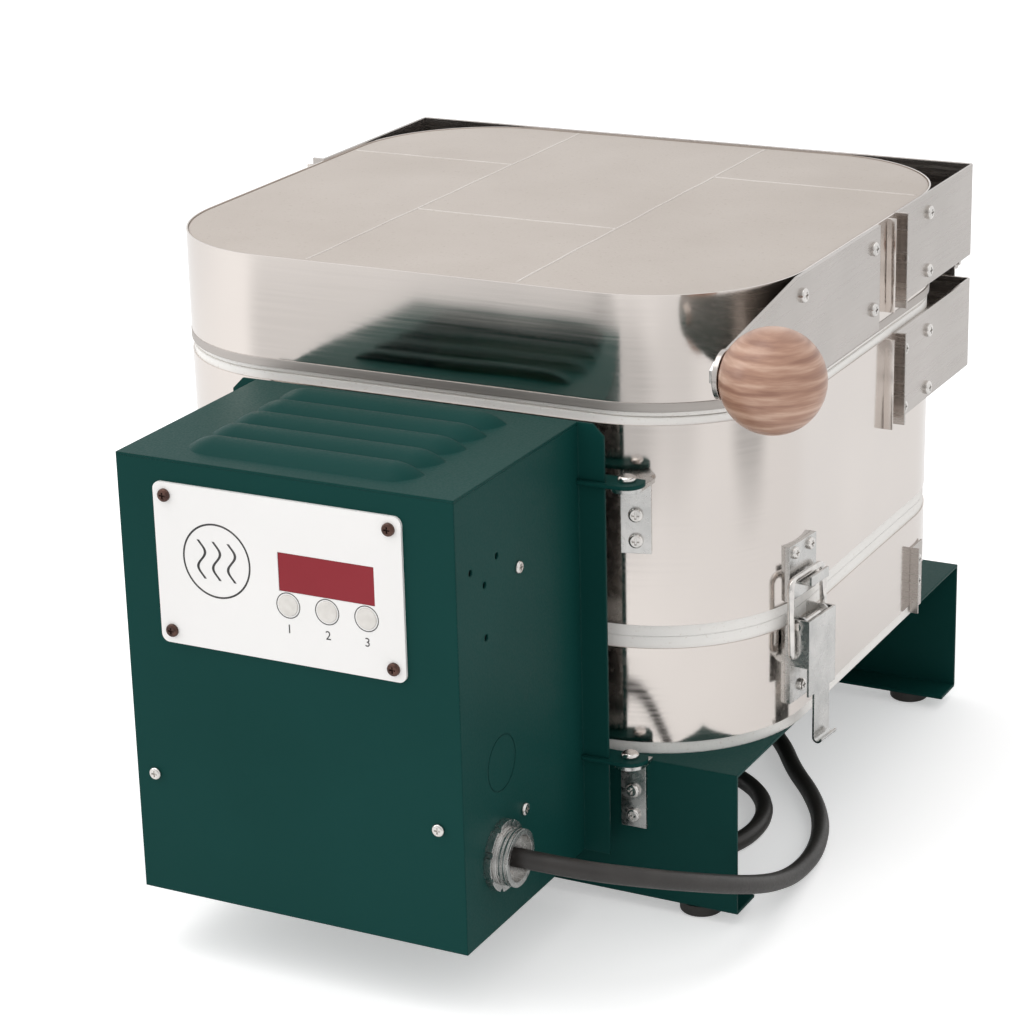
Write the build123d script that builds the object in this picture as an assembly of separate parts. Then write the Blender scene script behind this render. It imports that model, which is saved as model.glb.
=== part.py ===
from build123d import *
import math
import os

os.makedirs("parts", exist_ok=True)

# Frame: origin on the floor under the middle of the kiln, +X right, +Y rear, +Z up, millimetres.
# The control box is on the -Y side.

# Kiln body
kiln_half_width = 171.5
kiln_half_depth = 159.0
kiln_corner_radius = 78.0
jacket_sheet = 0.8
wall_thickness = 63.5
floor_brick_height = 62.5
ring_brick_height = 113.0
lid_brick_height = 60.3
lid_rest_gap = 0.2
lid_left_joint = -66.7
lid_right_joint = 50.6
lid_left_cross_joint = 69.4
lid_middle_cross_joint = -42.1
lid_right_cross_joint = 81.9

# Metal bands: bare brick left above or below each one
floor_jacket_bare = 6.2
floor_jacket_height = 50.2
ring_jacket_bare = 6.1
ring_jacket_height = 103.0
lid_band_bare = 2.8
lid_band_proud = 0.3
lid_hem_height = 4.5
lid_hem_sheet = 0.4
seam_lip_width = 5.0
seam_from_rear = 129.5

# Stand
foot_height = 6.0
foot_radius = 11.0
foot_inset = 24.0
stand_height = 76.0
stand_sheet = 1.5
stand_flange = 22.4
stand_inset = 2.5
stand_overhang = 2.5

# Levels that follow
shelf_top = foot_height + stand_height
floor_bottom = shelf_top
ring_bottom = floor_bottom + floor_brick_height
ring_top = ring_bottom + ring_brick_height
lid_bottom = ring_top + lid_rest_gap
lid_top = lid_bottom + lid_brick_height
floor_jacket_bottom = floor_bottom + floor_jacket_bare
ring_jacket_bottom = ring_bottom + ring_jacket_bare
lid_band_bottom = lid_bottom + lid_band_bare
lid_band_top = lid_top + lid_band_proud
shelf_half_width = kiln_half_width - stand_inset
shelf_half_depth = kiln_half_depth + stand_overhang
brick_half_width = kiln_half_width - jacket_sheet
brick_half_depth = kiln_half_depth - jacket_sheet
brick_corner = kiln_corner_radius - jacket_sheet
chamber_half_width = kiln_half_width - wall_thickness
chamber_half_depth = kiln_half_depth - wall_thickness
arc_x = kiln_half_width - kiln_corner_radius
arc_y = -kiln_half_depth + kiln_corner_radius
seam_lip_y = kiln_half_depth - seam_from_rear

# Heating elements and thermocouple
groove_width = 11.0
groove_depth = 12.0
lower_groove_height = 32.0
upper_groove_height = 81.0
element_radius = 3.5
element_corner = 12.0
lead_bend = 4.2
lead_clearance = 0.5
bush_radius = 7.0
bush_flange_radius = 10.0
bush_flange = 3.0
terminal_half = 5.5
terminal_reach = 11.0
terminal_screw_radius = 2.0
terminal_screw_height = 2.0
terminal_corner = 1.5
terminal_pitch = 60.0
thermocouple_inset = 115.15
thermocouple_height = 62.0
thermocouple_radius = 3.0
thermocouple_reach = 25.0
thermocouple_block_half = 10.0
thermocouple_block_depth = 9.0
thermocouple_block_corner = 3.0
thermocouple_screw_height = 1.6
thermocouple_tip = 1.2

box_right_inset = 78.35
box_right = kiln_half_width - box_right_inset
thermocouple_x = box_right - thermocouple_inset
left_terminal_x = thermocouple_x - terminal_pitch / 2
right_terminal_x = thermocouple_x + terminal_pitch / 2

# Yokes and piano hinge at the back
yoke_sheet = 1.5
yoke_bend = 3.0
yoke_reach = 118.0
yoke_lip = 6.0
yoke_slot_half_width = 1.5
yoke_slot_half_length = 4.0
yoke_slot_cut = 5.0
upper_yoke_height = 51.0
upper_yoke_proud = 1.0
lower_yoke_height = 50.0
lower_yoke_drop = 3.5
upper_yoke_front_screw = 8.5
upper_yoke_rear_screw = 47.0
upper_yoke_screw_rises = (40.0, 23.8, 8.1)
upper_yoke_slot_inset = 9.0
upper_yoke_slot_rise = 7.9
lower_yoke_front_screw = 11.2
lower_yoke_rear_screw = 49.0
lower_yoke_screw_rises = (38.3, 6.0)
lower_yoke_slot_inset = 11.5
lower_yoke_slot_rise = 22.3
hinge_half_length = 163.0
hinge_sheet = 1.5
hinge_axis_rise = 3.0
hinge_leaf_height = 34.0
hinge_leaf_edge = 1.2
hinge_web = 2.0
knuckle_radius = 3.7
knuckle_clearance = 0.3
hinge_rod_radius = 1.6
hinge_rod_end = 1.5
hinge_knuckles = 11
knuckle_gap = 0.6
running_gap = 0.05
yoke_front_y = kiln_half_depth - yoke_reach
yoke_back = kiln_half_depth + yoke_sheet
yoke_side = kiln_half_width + yoke_sheet
upper_yoke_bottom = lid_top + upper_yoke_proud - upper_yoke_height
lower_yoke_bottom = ring_top - lower_yoke_drop - lower_yoke_height
hinge_axis_y = yoke_back + hinge_sheet + knuckle_clearance + knuckle_radius
hinge_axis_height = ring_top + hinge_axis_rise

# Lid handle
handle_plate_thickness = 2.5
handle_seam_gap = 16.5
handle_edge_rise = 5.0
handle_bend_inset = 62.8
handle_tongue_radius = 12.0
ball_radius = 25.0
ball_flat = 22.8
ball_ahead = 25.8
ball_drop = 24.2
ball_bolt_radius = 3.0
ball_bolt_depth = 26.0
ball_bore_spare = 0.5
ball_bolt_head_radius = 6.0
ball_bolt_head = 4.0
tongue_root = 4.0
tongue_upper_trim = 0.6
tongue_lower_trim = 0.9
handle_screw_inset = 9.7
handle_screw_drop = 9.7
handle_low_screw_rise = 13.5
handle_front_screw_inset = 3.7
handle_rear_y = seam_lip_y - handle_seam_gap
handle_outer = kiln_half_width + handle_plate_thickness
handle_bottom = lid_bottom + handle_edge_rise
handle_bend_y = handle_bend_inset - kiln_half_depth
ball_x = handle_outer + ball_flat
ball_y = -kiln_half_depth - ball_ahead
ball_z = lid_top - ball_drop

# Fasteners
screw_head_radius = 3.7
screw_head_height = 2.2
screw_shank_radius = 2.0
screw_recess = 1.0
small_head_radius = 3.2
small_head_height = 1.9
hole_radius = screw_shank_radius + running_gap

# Control box
box_width = 179.55
box_depth = 125.9
box_height = 224.8
box_bottom = 34.3
box_stand_off = 17.0
box_sheet = 1.2
box_flange = 14.0
box_flange_cut = 6.0
box_cover_lip = 9.0
box_screw_reach = 6.0
louvre_left_inset = 26.4
louvre_right_inset = 29.1
louvre_front_inset = 26.9
louvre_pitch = 20.4
louvre_count = 5
louvre_rise = 5.0
louvre_width = 15.0
cover_gap = 0.1
grommet_radius = 11.5
grommet_bore = 6.0
grommet_neck = 9.0
grommet_lip = 1.5
vent_radius = 1.7
knockout_radius = 14.0
knockout_groove = 0.5
knockout_ahead = 38.8
knockout_rise = 82.5
front_screw_left_inset = 10.5
front_screw_right_inset = 13.2
front_screw_rise = 62.2
side_screw_behind = 59.9
side_screw_drop = 51.5
side_screw_rise = 50.0
side_vent_places = ((39.4, 39.1), (13.8, 38.9), (26.9, 49.1), (27.2, 75.0))
back_plate_side_gap = 3.0
back_plate_bottom_gap = 4.0
back_plate_top_gap = 8.0
box_left = box_right - box_width
box_rear = -kiln_half_depth - box_stand_off
box_front = box_rear - box_depth
box_top = box_bottom + box_height
cover_bottom = box_top - box_sheet

# Box hinge
box_pin_out = 22.65
box_pin_behind = 5.4
box_pin_radius = 2.5
box_pin_head_radius = 4.5
box_pin_head = 2.5
box_pin_foot = 1.2
box_pin_foot_radius = 3.7
lug_sheet = 2.0
lug_radius = 9.0
lug_rear = 5.0
lug_gap = 0.3
leaf_radius = 8.0
bracket_sheet = 2.0
bracket_height = 39.0
bracket_offset = 1.8
bracket_first_screw = 19.0
bracket_screw_pitch = 13.3
upper_leaf_drop = 29.5
upper_bracket_width = 15.0
lower_leaf_rise = 2.0
lower_bracket_width = 13.5
box_pin_x = box_right + box_pin_out
box_pin_y = box_rear + box_pin_behind
upper_leaf_top = ring_top - upper_leaf_drop
lower_leaf_top = shelf_top + lower_leaf_rise

# Faceplate, display and buttons
faceplate_inset = 20.5
faceplate_drop = 11.1
faceplate_right_inset = 26.45
faceplate_height = 80.3
faceplate_thickness = 1.5
faceplate_corner = 4.0
faceplate_screw_inset = 6.3
window_right_inset = 15.0
window_drop = 25.8
window_width = 50.9
window_height = 19.0
window_rim = 2.0
window_recess = 0.3
button_drop = 6.7
button_left_inset = 4.6
button_pitch = 20.8
button_radius = 5.2
button_stand_out = 0.6
button_flange = 1.2
button_flange_lip = 1.2
button_travel = 0.6
button_stem_radius = 2.0
switch_height = 3.5
switch_gap = 0.15
board_thickness = 1.6
board_back = 16.0
board_margin = 2.0
display_depth = 12.0
standoff_radius = 3.6
cut_out_margin = 9.0
display_inset = 1.0
figure_count = 4
figure_margin = 2.0
figure_half_width = 2.6
figure_bar_step = 5.2
figure_bar_half = 0.4
figure_bar_end = 0.7
figure_bar_rise = 0.3
switch_half = 3.0
switch_button_radius = 1.7
switch_button_height = 1.0
faceplate_left = box_left + faceplate_inset
faceplate_right = box_right - faceplate_right_inset
faceplate_top = box_top - faceplate_drop
faceplate_bottom = faceplate_top - faceplate_height
faceplate_front = box_front - faceplate_thickness
window_right = faceplate_right - window_right_inset
window_left = window_right - window_width
window_top = faceplate_top - window_drop
window_bottom = window_top - window_height
button_z = window_bottom - button_drop
button_xs = [window_left + button_left_inset + index * button_pitch for index in range(3)]

# Things mounted inside the box, on the back plate and on the floor of the box
relay_width = 50.0
relay_depth = 38.0
relay_height = 36.0
relay_gap = 17.1
relay_rise = 115.0
relay_corner = 2.0
relay_blades = 4
relay_blade_half = 3.0
relay_blade_length = 9.0
relay_blade_thickness = 1.0
transformer_width = 54.0
transformer_depth = 30.0
transformer_height = 44.0
transformer_left_inset = 26.0
transformer_front_inset = 40.0
winding_bulge = 10.0
winding_side_inset = 7.0
winding_end_inset = 9.0
terminal_block_width = 50.0
terminal_block_depth = 20.0
terminal_block_height = 18.0
terminal_block_right_inset = 81.0
terminal_block_rear_inset = 39.0
terminal_wells = 4
terminal_well_radius = 3.2

# Cord connector in the box's right side
connector_ahead = 34.6
connector_rise = 37.2
connector_radius = 14.0
connector_mouth = 11.0
connector_clearance = 0.4
connector_collar = 3.0
connector_jaw = 14.0
connector_wall = 2.6
connector_throat = 6.0
connector_jaw_half = 9.0
connector_jaw_trim = 2.0
connector_threads = 3
thread_pitch = 2.2
thread_depth = 0.9
locknut_radius = 17.3
locknut_thickness = 4.0
locknut_notch = 1.6
locknut_notches = 8
connector_y = box_front + connector_ahead
connector_z = box_bottom + connector_rise

# Power cord: its points are chosen by hand, out of the connector, down to the floor and under the stand
cord_radius = 4.75
cord_bed = 4.85
coil_x = 10.0
coil_y = 60.0
coil_radius = 56.0
coil_turns = 2.53
cord_start = box_right - 17.15
cord_mouth = box_right + connector_mouth
cord_out_of_box = [
    (cord_start, connector_y, connector_z),
    (cord_mouth + 2.85, connector_y, connector_z),
    (cord_mouth + 30.85, connector_y + 7.8, connector_z - 4),
    (kiln_half_width - 14.5, connector_y + 29.3, 58.5),
    (kiln_half_width - 0.5, connector_y + 58.3, 46),
    (kiln_half_width + 7.5, -kiln_half_depth - 18, 32),
    (kiln_half_width + 9.5, -kiln_half_depth + 15, 18.5),
    (kiln_half_width + 8.5, -kiln_half_depth + 48, 8.5),
    (kiln_half_width + 5.5, -kiln_half_depth + 83, cord_bed),
    (kiln_half_width - 4.5, -kiln_half_depth + 117, cord_bed),
    (kiln_half_width - 22.5, coil_y - 71, cord_bed),
    (coil_x + 117, coil_y - 44, cord_bed),
    (coil_x + 99, coil_y - 15, cord_bed),
    (coil_x + 75, coil_y + 12, cord_bed),
    (coil_x + 48, coil_y + 36, cord_bed),
    (coil_x + 19.2, coil_y + 52.6, cord_bed),
]
cord_to_plug = [
    (coil_x - 9.7, coil_y - 55.1, 28.9),
    (coil_x + 23, coil_y - 60, 21),
    (coil_x + 54, coil_y - 60, 11.5),
    (coil_x + 85, coil_y - 62, 5.6),
    (coil_x + 111, coil_y - 78, cord_bed),
    (coil_x + 127, coil_y - 106, cord_bed),
    (coil_x + 128, -kiln_half_depth + 80, cord_bed),
    (coil_x + 112, -kiln_half_depth + 52, cord_bed),
    (coil_x + 83, -kiln_half_depth + 38, cord_bed),
    (coil_x + 50, -kiln_half_depth + 38, cord_bed),
    (coil_x + 18, -kiln_half_depth + 42, cord_bed),
]
plug_length = 34.0
plug_width = 26.0
plug_height = 21.0
plug_corner = 4.0
blade_length = 17.5
blade_gap = 12.7
blade_width = 6.4
blade_thickness = 1.5
ground_pin_radius = 2.4
ground_pin_drop = 4.0
ground_pin_extra = 3.0

# Draw latch, in its own frame: n outwards, u along the corner's tangent, z up, heights from the ring's foot
latch_turn = 6.0
latch_plate = 2.2
latch_base_half = 11.6
latch_base_low = -47.5
latch_base_high = -6.5
latch_base_screw = -40.5
latch_seat_depth = 1.0
latch_cut = 30.0
ear_sheet = 1.2
ear_low = -26.5
ear_round = 4.2
ear_crown = 4.0
ear_seat_depth = 0.6
lever_pivot_rise = -3.5
lever_pivot_n = 8.0
lever_pin_radius = 2.0
lever_pin_end = 0.9
lever_half = 14.0
lever_sheet = 1.2
lever_web_n = 13.0
lever_low = -40.5
lever_crown = 3.5
lever_cheek_low = -24.0
lever_cheek_n = 3.6
lever_tab_length = 24.0
lever_tab_half = 8.0
lever_curl = 2.8
bail_pivot_rise = -19.5
bail_pivot_n = 6.0
bail_wire_radius = 1.8
bail_leg_u = 17.0
bail_bar_rise = 20.5
bail_bar_n = 5.0
bail_bend = 5.0
bail_end_gap = 0.4
keeper_left = -12.0
keeper_right = 16.0
keeper_low = 7.5
keeper_high = 36.5
keeper_plate = 1.8
keeper_seat_depth = 1.5
keeper_screw_rise = 32.5
keeper_screw_us = (9.0, -7.0)
hook_half = 9.0
hook_lip_n = 11.3
hook_lip_top = 22.0
hook_sheet = 1.4
latch_clearance = 0.3
lever_pivot_z = ring_bottom + lever_pivot_rise
bail_pivot_z = ring_bottom + bail_pivot_rise
bail_bar_z = ring_bottom + bail_bar_rise

# Cleat on the floor jacket's seam
cleat_from_rear = 85.0
cleat_width = 16.0
cleat_sheet = 1.0
cleat_foot_rise = 2.0
cleat_height = 38.0
cleat_slot_rise = 5.5
cleat_bolt_rises = (16.4, 29.0)
cleat_y = kiln_half_depth - cleat_from_rear


# Basic shapes

def block(x0, x1, y0, y1, z0, z1):
    return Pos((x0 + x1) / 2, (y0 + y1) / 2, (z0 + z1) / 2) * Box(abs(x1 - x0), abs(y1 - y0), abs(z1 - z0))


def rounded_slab(half_x, half_y, radius, z0, z1):
    outline = Pos(0, 0, z0) * RectangleRounded(2 * half_x, 2 * half_y, radius)
    return extrude(outline, z1 - z0)


def rounded_band(half_x, half_y, radius, sheet, z0, z1):
    outer = rounded_slab(half_x, half_y, radius, z0, z1)
    return outer - rounded_slab(half_x - sheet, half_y - sheet, radius - sheet, z0 - 1, z1 + 1)


# A round bar that starts at a point and runs along +X, +Y, +Z or the opposite
def bar(point, direction, radius, length):
    return Plane(origin=point, z_dir=direction) * Cylinder(
        radius, length, align=(Align.CENTER, Align.CENTER, Align.MIN)
    )


# A plate that lies in a plane of constant X, drawn by its (y, z) corners, and grows towards +X
def side_plate(corners, x0, thickness):
    face = make_face(Polyline([(x0, y, z) for y, z in corners], close=True))
    return extrude(face, thickness, dir=(1, 0, 0))


# Pan-head screw with its head on the given point, its head pointing outwards
def screw(point, outward, reach, head_radius=screw_head_radius, head_height=screw_head_height):
    outward = Vector(*outward)
    point = Vector(*point)
    plane = Plane(origin=point, z_dir=outward)
    head = plane * Cylinder(head_radius, head_height, align=(Align.CENTER, Align.CENTER, Align.MIN))
    head = fillet(head.edges().sort_by(plane_distance(plane))[-1], head_height * 0.6)
    cross = plane * Pos(0, 0, head_height) * Box(head_radius, head_radius * 0.26, 2 * screw_recess)
    cross += plane * Pos(0, 0, head_height) * Box(head_radius * 0.26, head_radius, 2 * screw_recess)
    shank = bar(point, outward * -1, screw_shank_radius, reach)
    return head - cross + shank


def small_screw(point, outward, reach):
    return screw(point, outward, reach, small_head_radius, small_head_height)


def plane_distance(plane):
    return lambda edge: (edge.center() - plane.origin).dot(plane.z_dir)


def hole(point, outward, radius=None, depth=12.0):
    start = Vector(*point) + Vector(*outward) * (depth / 2)
    return bar(start, Vector(*outward) * -1, radius or hole_radius, depth)


def save(name, *shapes):
    solids = [solid for shape in shapes for solid in shape.solids()]
    export_step(Compound(solids) if len(solids) > 1 else solids[0], f"parts/{name}.step")


# Stand: a shelf on a front and a rear plate, with their feet folded inwards

def stand_frame():
    half_x = shelf_half_width
    half_y = shelf_half_depth
    shelf = block(-half_x, half_x, -half_y, half_y, shelf_top - stand_sheet, shelf_top)
    frame = shelf
    for side in (-1, 1):
        wall = block(-half_x, half_x, side * (half_y - stand_sheet), side * half_y, foot_height, shelf_top)
        flange = block(
            -half_x, half_x, side * (half_y - stand_flange), side * half_y, foot_height, foot_height + stand_sheet
        )
        frame += wall + flange
    outer_folds = frame.edges().filter_by(Axis.X).filter_by(
        lambda e: abs(abs(e.center().Y) - half_y) < 0.01 and abs(e.center().Z - foot_height) < 0.01
    )
    frame = fillet(outer_folds, stand_sheet)
    for point in lower_bracket_screws():
        frame -= hole(point, (0, -1, 0))
    return frame


def rubber_feet():
    feet = []
    for sx in (-1, 1):
        for sy in (-1, 1):
            x = sx * (shelf_half_width - foot_inset)
            y = sy * (shelf_half_depth - stand_flange / 2)
            foot = bar((x, y, 0), (0, 0, 1), foot_radius, foot_height)
            foot = fillet(foot.edges().sort_by(Axis.Z)[0], 1.5)
            feet.append(foot)
    return feet


# Firebrick floor, ring and lid

def floor_bricks():
    slab = rounded_slab(brick_half_width, brick_half_depth, brick_corner, floor_bottom, ring_bottom)
    return split_columns(slab, [lid_left_joint, lid_right_joint])


def split_columns(slab, joints):
    reach = kiln_half_width + 10
    edges = [-reach] + joints + [reach]
    return [
        slab & block(left, right, -reach, reach, 0, lid_top + 10) for left, right in zip(edges, edges[1:])
    ]


def lid_bricks():
    slab = rounded_slab(brick_half_width, brick_half_depth, brick_corner, lid_bottom, lid_top)
    crosses = (lid_left_cross_joint, lid_middle_cross_joint, lid_right_cross_joint)
    reach = kiln_half_width + 10
    bricks = []
    for column, cross in zip(split_columns(slab, [lid_left_joint, lid_right_joint]), crosses):
        bricks.append(column & block(-reach, reach, -reach, cross, 0, lid_top + 10))
        bricks.append(column & block(-reach, reach, cross, reach, 0, lid_top + 10))
    return bricks


def groove_cutter(height):
    middle = ring_bottom + height
    half_x = chamber_half_width + groove_depth
    half_y = chamber_half_depth + groove_depth
    ring = block(-half_x, half_x, -half_y, half_y, middle - groove_width / 2, middle + groove_width / 2)
    return ring - block(
        -chamber_half_width + 1, chamber_half_width - 1, -chamber_half_depth + 1, chamber_half_depth - 1, 0, lid_top
    )


def lead_points():
    return [
        (x, ring_bottom + height)
        for height in (lower_groove_height, upper_groove_height)
        for x in (left_terminal_x, right_terminal_x)
    ]


def ring_bricks():
    ring = rounded_slab(brick_half_width, brick_half_depth, brick_corner, ring_bottom, ring_top)
    chamber = block(
        -chamber_half_width, chamber_half_width, -chamber_half_depth, chamber_half_depth, ring_bottom - 1, ring_top + 1
    )
    ring -= chamber
    ring -= groove_cutter(lower_groove_height)
    ring -= groove_cutter(upper_groove_height)
    for x, z in lead_points():
        ring -= bar((x, -kiln_half_depth - 5, z), (0, 1, 0), element_radius + lead_clearance, wall_thickness)
    ring -= thermocouple_bore()
    reach = kiln_half_width + 10
    front = ring & block(-reach, reach, -reach, -chamber_half_depth, 0, lid_top)
    rear = ring & block(-reach, reach, chamber_half_depth, reach, 0, lid_top)
    left = ring & block(-reach, 0, -chamber_half_depth, chamber_half_depth, 0, lid_top)
    right = ring & block(0, reach, -chamber_half_depth, chamber_half_depth, 0, lid_top)
    return [front, rear, left, right]


# Jackets and the lid band: bent sheet with a seam on each side, closed by a lip beside each yoke

def seam_lips(z0, z1):
    lips = []
    for side in (-1, 1):
        inner = side * (kiln_half_width - jacket_sheet)
        outer = side * (kiln_half_width + seam_lip_width)
        lips.append(block(inner, outer, seam_lip_y - jacket_sheet, seam_lip_y, z0, z1))
    return lips


def band(z0, z1):
    return rounded_band(kiln_half_width, kiln_half_depth, kiln_corner_radius, jacket_sheet, z0, z1)


def floor_jacket():
    sheet = band(floor_jacket_bottom, floor_jacket_bottom + floor_jacket_height)
    for side in (-1, 1):
        for point in seam_bolt_points(side):
            sheet -= hole(point, (side, 0, 0))
        for shape in latch_holes(side, latch_base_screws()):
            sheet -= shape
    return sheet


def seam_bolt_points(side):
    x = side * (kiln_half_width + cleat_sheet)
    return [(x, cleat_y + cleat_width / 2, floor_bottom + cleat_foot_rise + rise) for rise in cleat_bolt_rises]


# Cleat that closes the floor jacket's seam: a strap with a folded front edge and a slot at its foot
def floor_seam_cleats():
    cleats = []
    low = floor_bottom + cleat_foot_rise
    middle = cleat_y + cleat_width / 2
    for side in (-1, 1):
        inner = side * kiln_half_width
        outer = side * (kiln_half_width + cleat_sheet)
        lip = side * (kiln_half_width + seam_lip_width)
        strap = block(inner, outer, cleat_y, cleat_y + cleat_width, low, low + cleat_height)
        strap += block(inner, lip, cleat_y, cleat_y + cleat_sheet, low, low + cleat_height)
        strap -= slot_cutter(side, outer, middle, low + cleat_slot_rise)
        for point in seam_bolt_points(side):
            strap -= hole(point, (side, 0, 0))
        cleats.append(strap)
    return cleats


def slot_cutter(side, x, y, z):
    return block(
        x - yoke_slot_cut, x + yoke_slot_cut, y - yoke_slot_half_width, y + yoke_slot_half_width,
        z - yoke_slot_half_length, z + yoke_slot_half_length
    )


def floor_seam_bolts():
    reach = cleat_sheet + jacket_sheet
    return [small_screw(p, (side, 0, 0), reach) for side in (-1, 1) for p in seam_bolt_points(side)]


def ring_jacket():
    top = ring_jacket_bottom + ring_jacket_height
    sheet = band(ring_jacket_bottom, top)
    for lip in seam_lips(lower_yoke_bottom, min(top, lower_yoke_bottom + lower_yoke_height)):
        sheet += lip
    for side in (-1, 1):
        for point in lower_yoke_screws(side):
            sheet -= hole(point, (side, 0, 0))
        for shape in latch_holes(side, latch_keeper_screws()):
            sheet -= shape
    for x, z in lead_points():
        sheet -= hole((x, -kiln_half_depth, z), (0, -1, 0), bush_radius + running_gap)
    sheet -= hole((thermocouple_x, -kiln_half_depth, ring_bottom + thermocouple_height), (0, -1, 0), bush_radius)
    for point in upper_bracket_screws():
        sheet -= hole(point, upper_bracket_normal())
    return sheet


def lid_band():
    sheet = band(lid_band_bottom, lid_band_top)
    for lip in seam_lips(upper_yoke_bottom, lid_band_top):
        sheet += lip
    for side in (-1, 1):
        for point in upper_yoke_screws(side):
            sheet -= hole(point, (side, 0, 0))
    for point in handle_plate_screw_points():
        sheet -= hole(point, (1, 0, 0))
    return sheet


def lid_hem():
    outer = rounded_band(
        kiln_half_width + lid_hem_sheet, kiln_half_depth + lid_hem_sheet, kiln_corner_radius + lid_hem_sheet,
        lid_hem_sheet, lid_band_bottom, lid_band_bottom + lid_hem_height
    )
    return outer - block(0, yoke_side + 20, ball_y, handle_rear_y, handle_bottom, lid_top)


# Heating elements: one turn of coiled wire round the chamber in each groove, with leads through the front wall

def element(height):
    z = ring_bottom + height
    half_x = chamber_half_width + groove_depth / 2
    half_y = chamber_half_depth + groove_depth / 2
    front = -kiln_half_depth - bush_flange - terminal_reach / 2
    path = FilletPolyline(
        (right_terminal_x, front, z),
        (right_terminal_x, -half_y, z),
        (half_x, -half_y, z),
        (half_x, half_y, z),
        (-half_x, half_y, z),
        (-half_x, -half_y, z),
        (left_terminal_x, -half_y, z),
        (left_terminal_x, front, z),
        radius=[lead_bend, element_corner, element_corner, element_corner, element_corner, lead_bend],
    )
    section = Plane(origin=path @ 0, z_dir=path % 0) * Circle(element_radius)
    return sweep(section, path)


def bush_hole_radius():
    return element_radius + running_gap


def terminal_bushes():
    bushes = []
    for x, z in lead_points():
        y = -kiln_half_depth
        tube = bar((x, y + jacket_sheet, z), (0, -1, 0), bush_radius, jacket_sheet + 0.01)
        flange = bar((x, y, z), (0, -1, 0), bush_flange_radius, bush_flange)
        bore = bar((x, y + 5, z), (0, -1, 0), bush_hole_radius(), 20)
        bushes.append(tube + flange - bore)
    return bushes


# Clamp that grips each element lead: a short brass block with its screw
def element_terminals():
    terminals = []
    for x, z in lead_points():
        y = -kiln_half_depth - bush_flange
        top = z + terminal_half
        front = y - terminal_reach + 1
        body = block(x - terminal_half, x + terminal_half, front, y, z - terminal_half, top)
        body = fillet(body.edges().filter_by(Axis.Y), terminal_corner)
        body -= bar((x, y + 1, z), (0, -1, 0), bush_hole_radius(), 1 + terminal_reach / 2 + lead_clearance)
        body += bar((x, y - terminal_reach / 2, top), (0, 0, 1), terminal_screw_radius, terminal_screw_height)
        terminals.append(body)
    return terminals


def thermocouple_bore():
    z = ring_bottom + thermocouple_height
    return bar(
        (thermocouple_x, -kiln_half_depth - 5, z), (0, 1, 0), thermocouple_radius + running_gap, wall_thickness + 10
    )


def thermocouple():
    z = ring_bottom + thermocouple_height
    length = wall_thickness + thermocouple_reach
    sheath = bar((thermocouple_x, -kiln_half_depth, z), (0, 1, 0), thermocouple_radius, length)
    return fillet(sheath.edges().sort_by(Axis.Y)[-1], thermocouple_tip)


# Porcelain block that holds the thermocouple's head and its two screws
def thermocouple_block():
    z = ring_bottom + thermocouple_height
    y = -kiln_half_depth
    half = thermocouple_block_half
    front = y - thermocouple_block_depth
    body = block(thermocouple_x - half, thermocouple_x + half, front, y, z - half, z + half)
    body = fillet(body.edges().filter_by(Axis.Y), thermocouple_block_corner)
    for dx in (-half / 2, half / 2):
        body += bar((thermocouple_x + dx, front, z), (0, -1, 0), terminal_screw_radius, thermocouple_screw_height)
    return body


# Yokes: a bent strap round the back of the lid, and one round the back of the ring

def yoke(z0, height, screws, slots):
    z1 = z0 + height
    strap = block(-yoke_side, yoke_side, yoke_front_y, yoke_back, z0, z1)
    corners = strap.edges().filter_by(Axis.Z).filter_by(lambda e: e.center().Y > kiln_half_depth)
    strap = fillet(corners, yoke_bend)
    strap -= block(-kiln_half_width, kiln_half_width, yoke_front_y - 5, kiln_half_depth, z0 - 1, z1 + 1)
    for side in (-1, 1):
        strap += block(
            side * kiln_half_width, side * (yoke_side + yoke_lip), yoke_front_y - yoke_sheet, yoke_front_y, z0, z1
        )
        for point in screws(side):
            strap -= hole(point, (side, 0, 0))
        for y, z in slots:
            strap -= slot_cutter(side, side * yoke_side, y, z)
    return strap


def upper_yoke_screws(side):
    front = yoke_front_y + upper_yoke_front_screw
    rear = yoke_front_y + upper_yoke_rear_screw
    places = zip((rear, front, rear), upper_yoke_screw_rises)
    return [(side * yoke_side, y, upper_yoke_bottom + rise) for y, rise in places]


def lower_yoke_screws(side):
    front = yoke_front_y + lower_yoke_front_screw
    rear = yoke_front_y + lower_yoke_rear_screw
    return [(side * yoke_side, y, lower_yoke_bottom + rise) for rise in lower_yoke_screw_rises for y in (rear, front)]


def lid_yoke():
    slot = (yoke_front_y + upper_yoke_slot_inset, upper_yoke_bottom + upper_yoke_slot_rise)
    return yoke(upper_yoke_bottom, upper_yoke_height, upper_yoke_screws, (slot,))


def ring_yoke():
    slot = (yoke_front_y + lower_yoke_slot_inset, lower_yoke_bottom + lower_yoke_slot_rise)
    return yoke(lower_yoke_bottom, lower_yoke_height, lower_yoke_screws, (slot,))


def yoke_screws(points):
    reach = yoke_sheet + jacket_sheet
    return [screw(p, (side, 0, 0), reach) for side in (-1, 1) for p in points(side)]


# Piano hinge: leaves on the yokes' backs, knuckles in turn on each leaf, one rod through them all

def knuckle_span(index):
    width = 2 * hinge_half_length / hinge_knuckles
    start = -hinge_half_length + index * width
    return start + knuckle_gap / 2, start + width - knuckle_gap / 2


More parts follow.
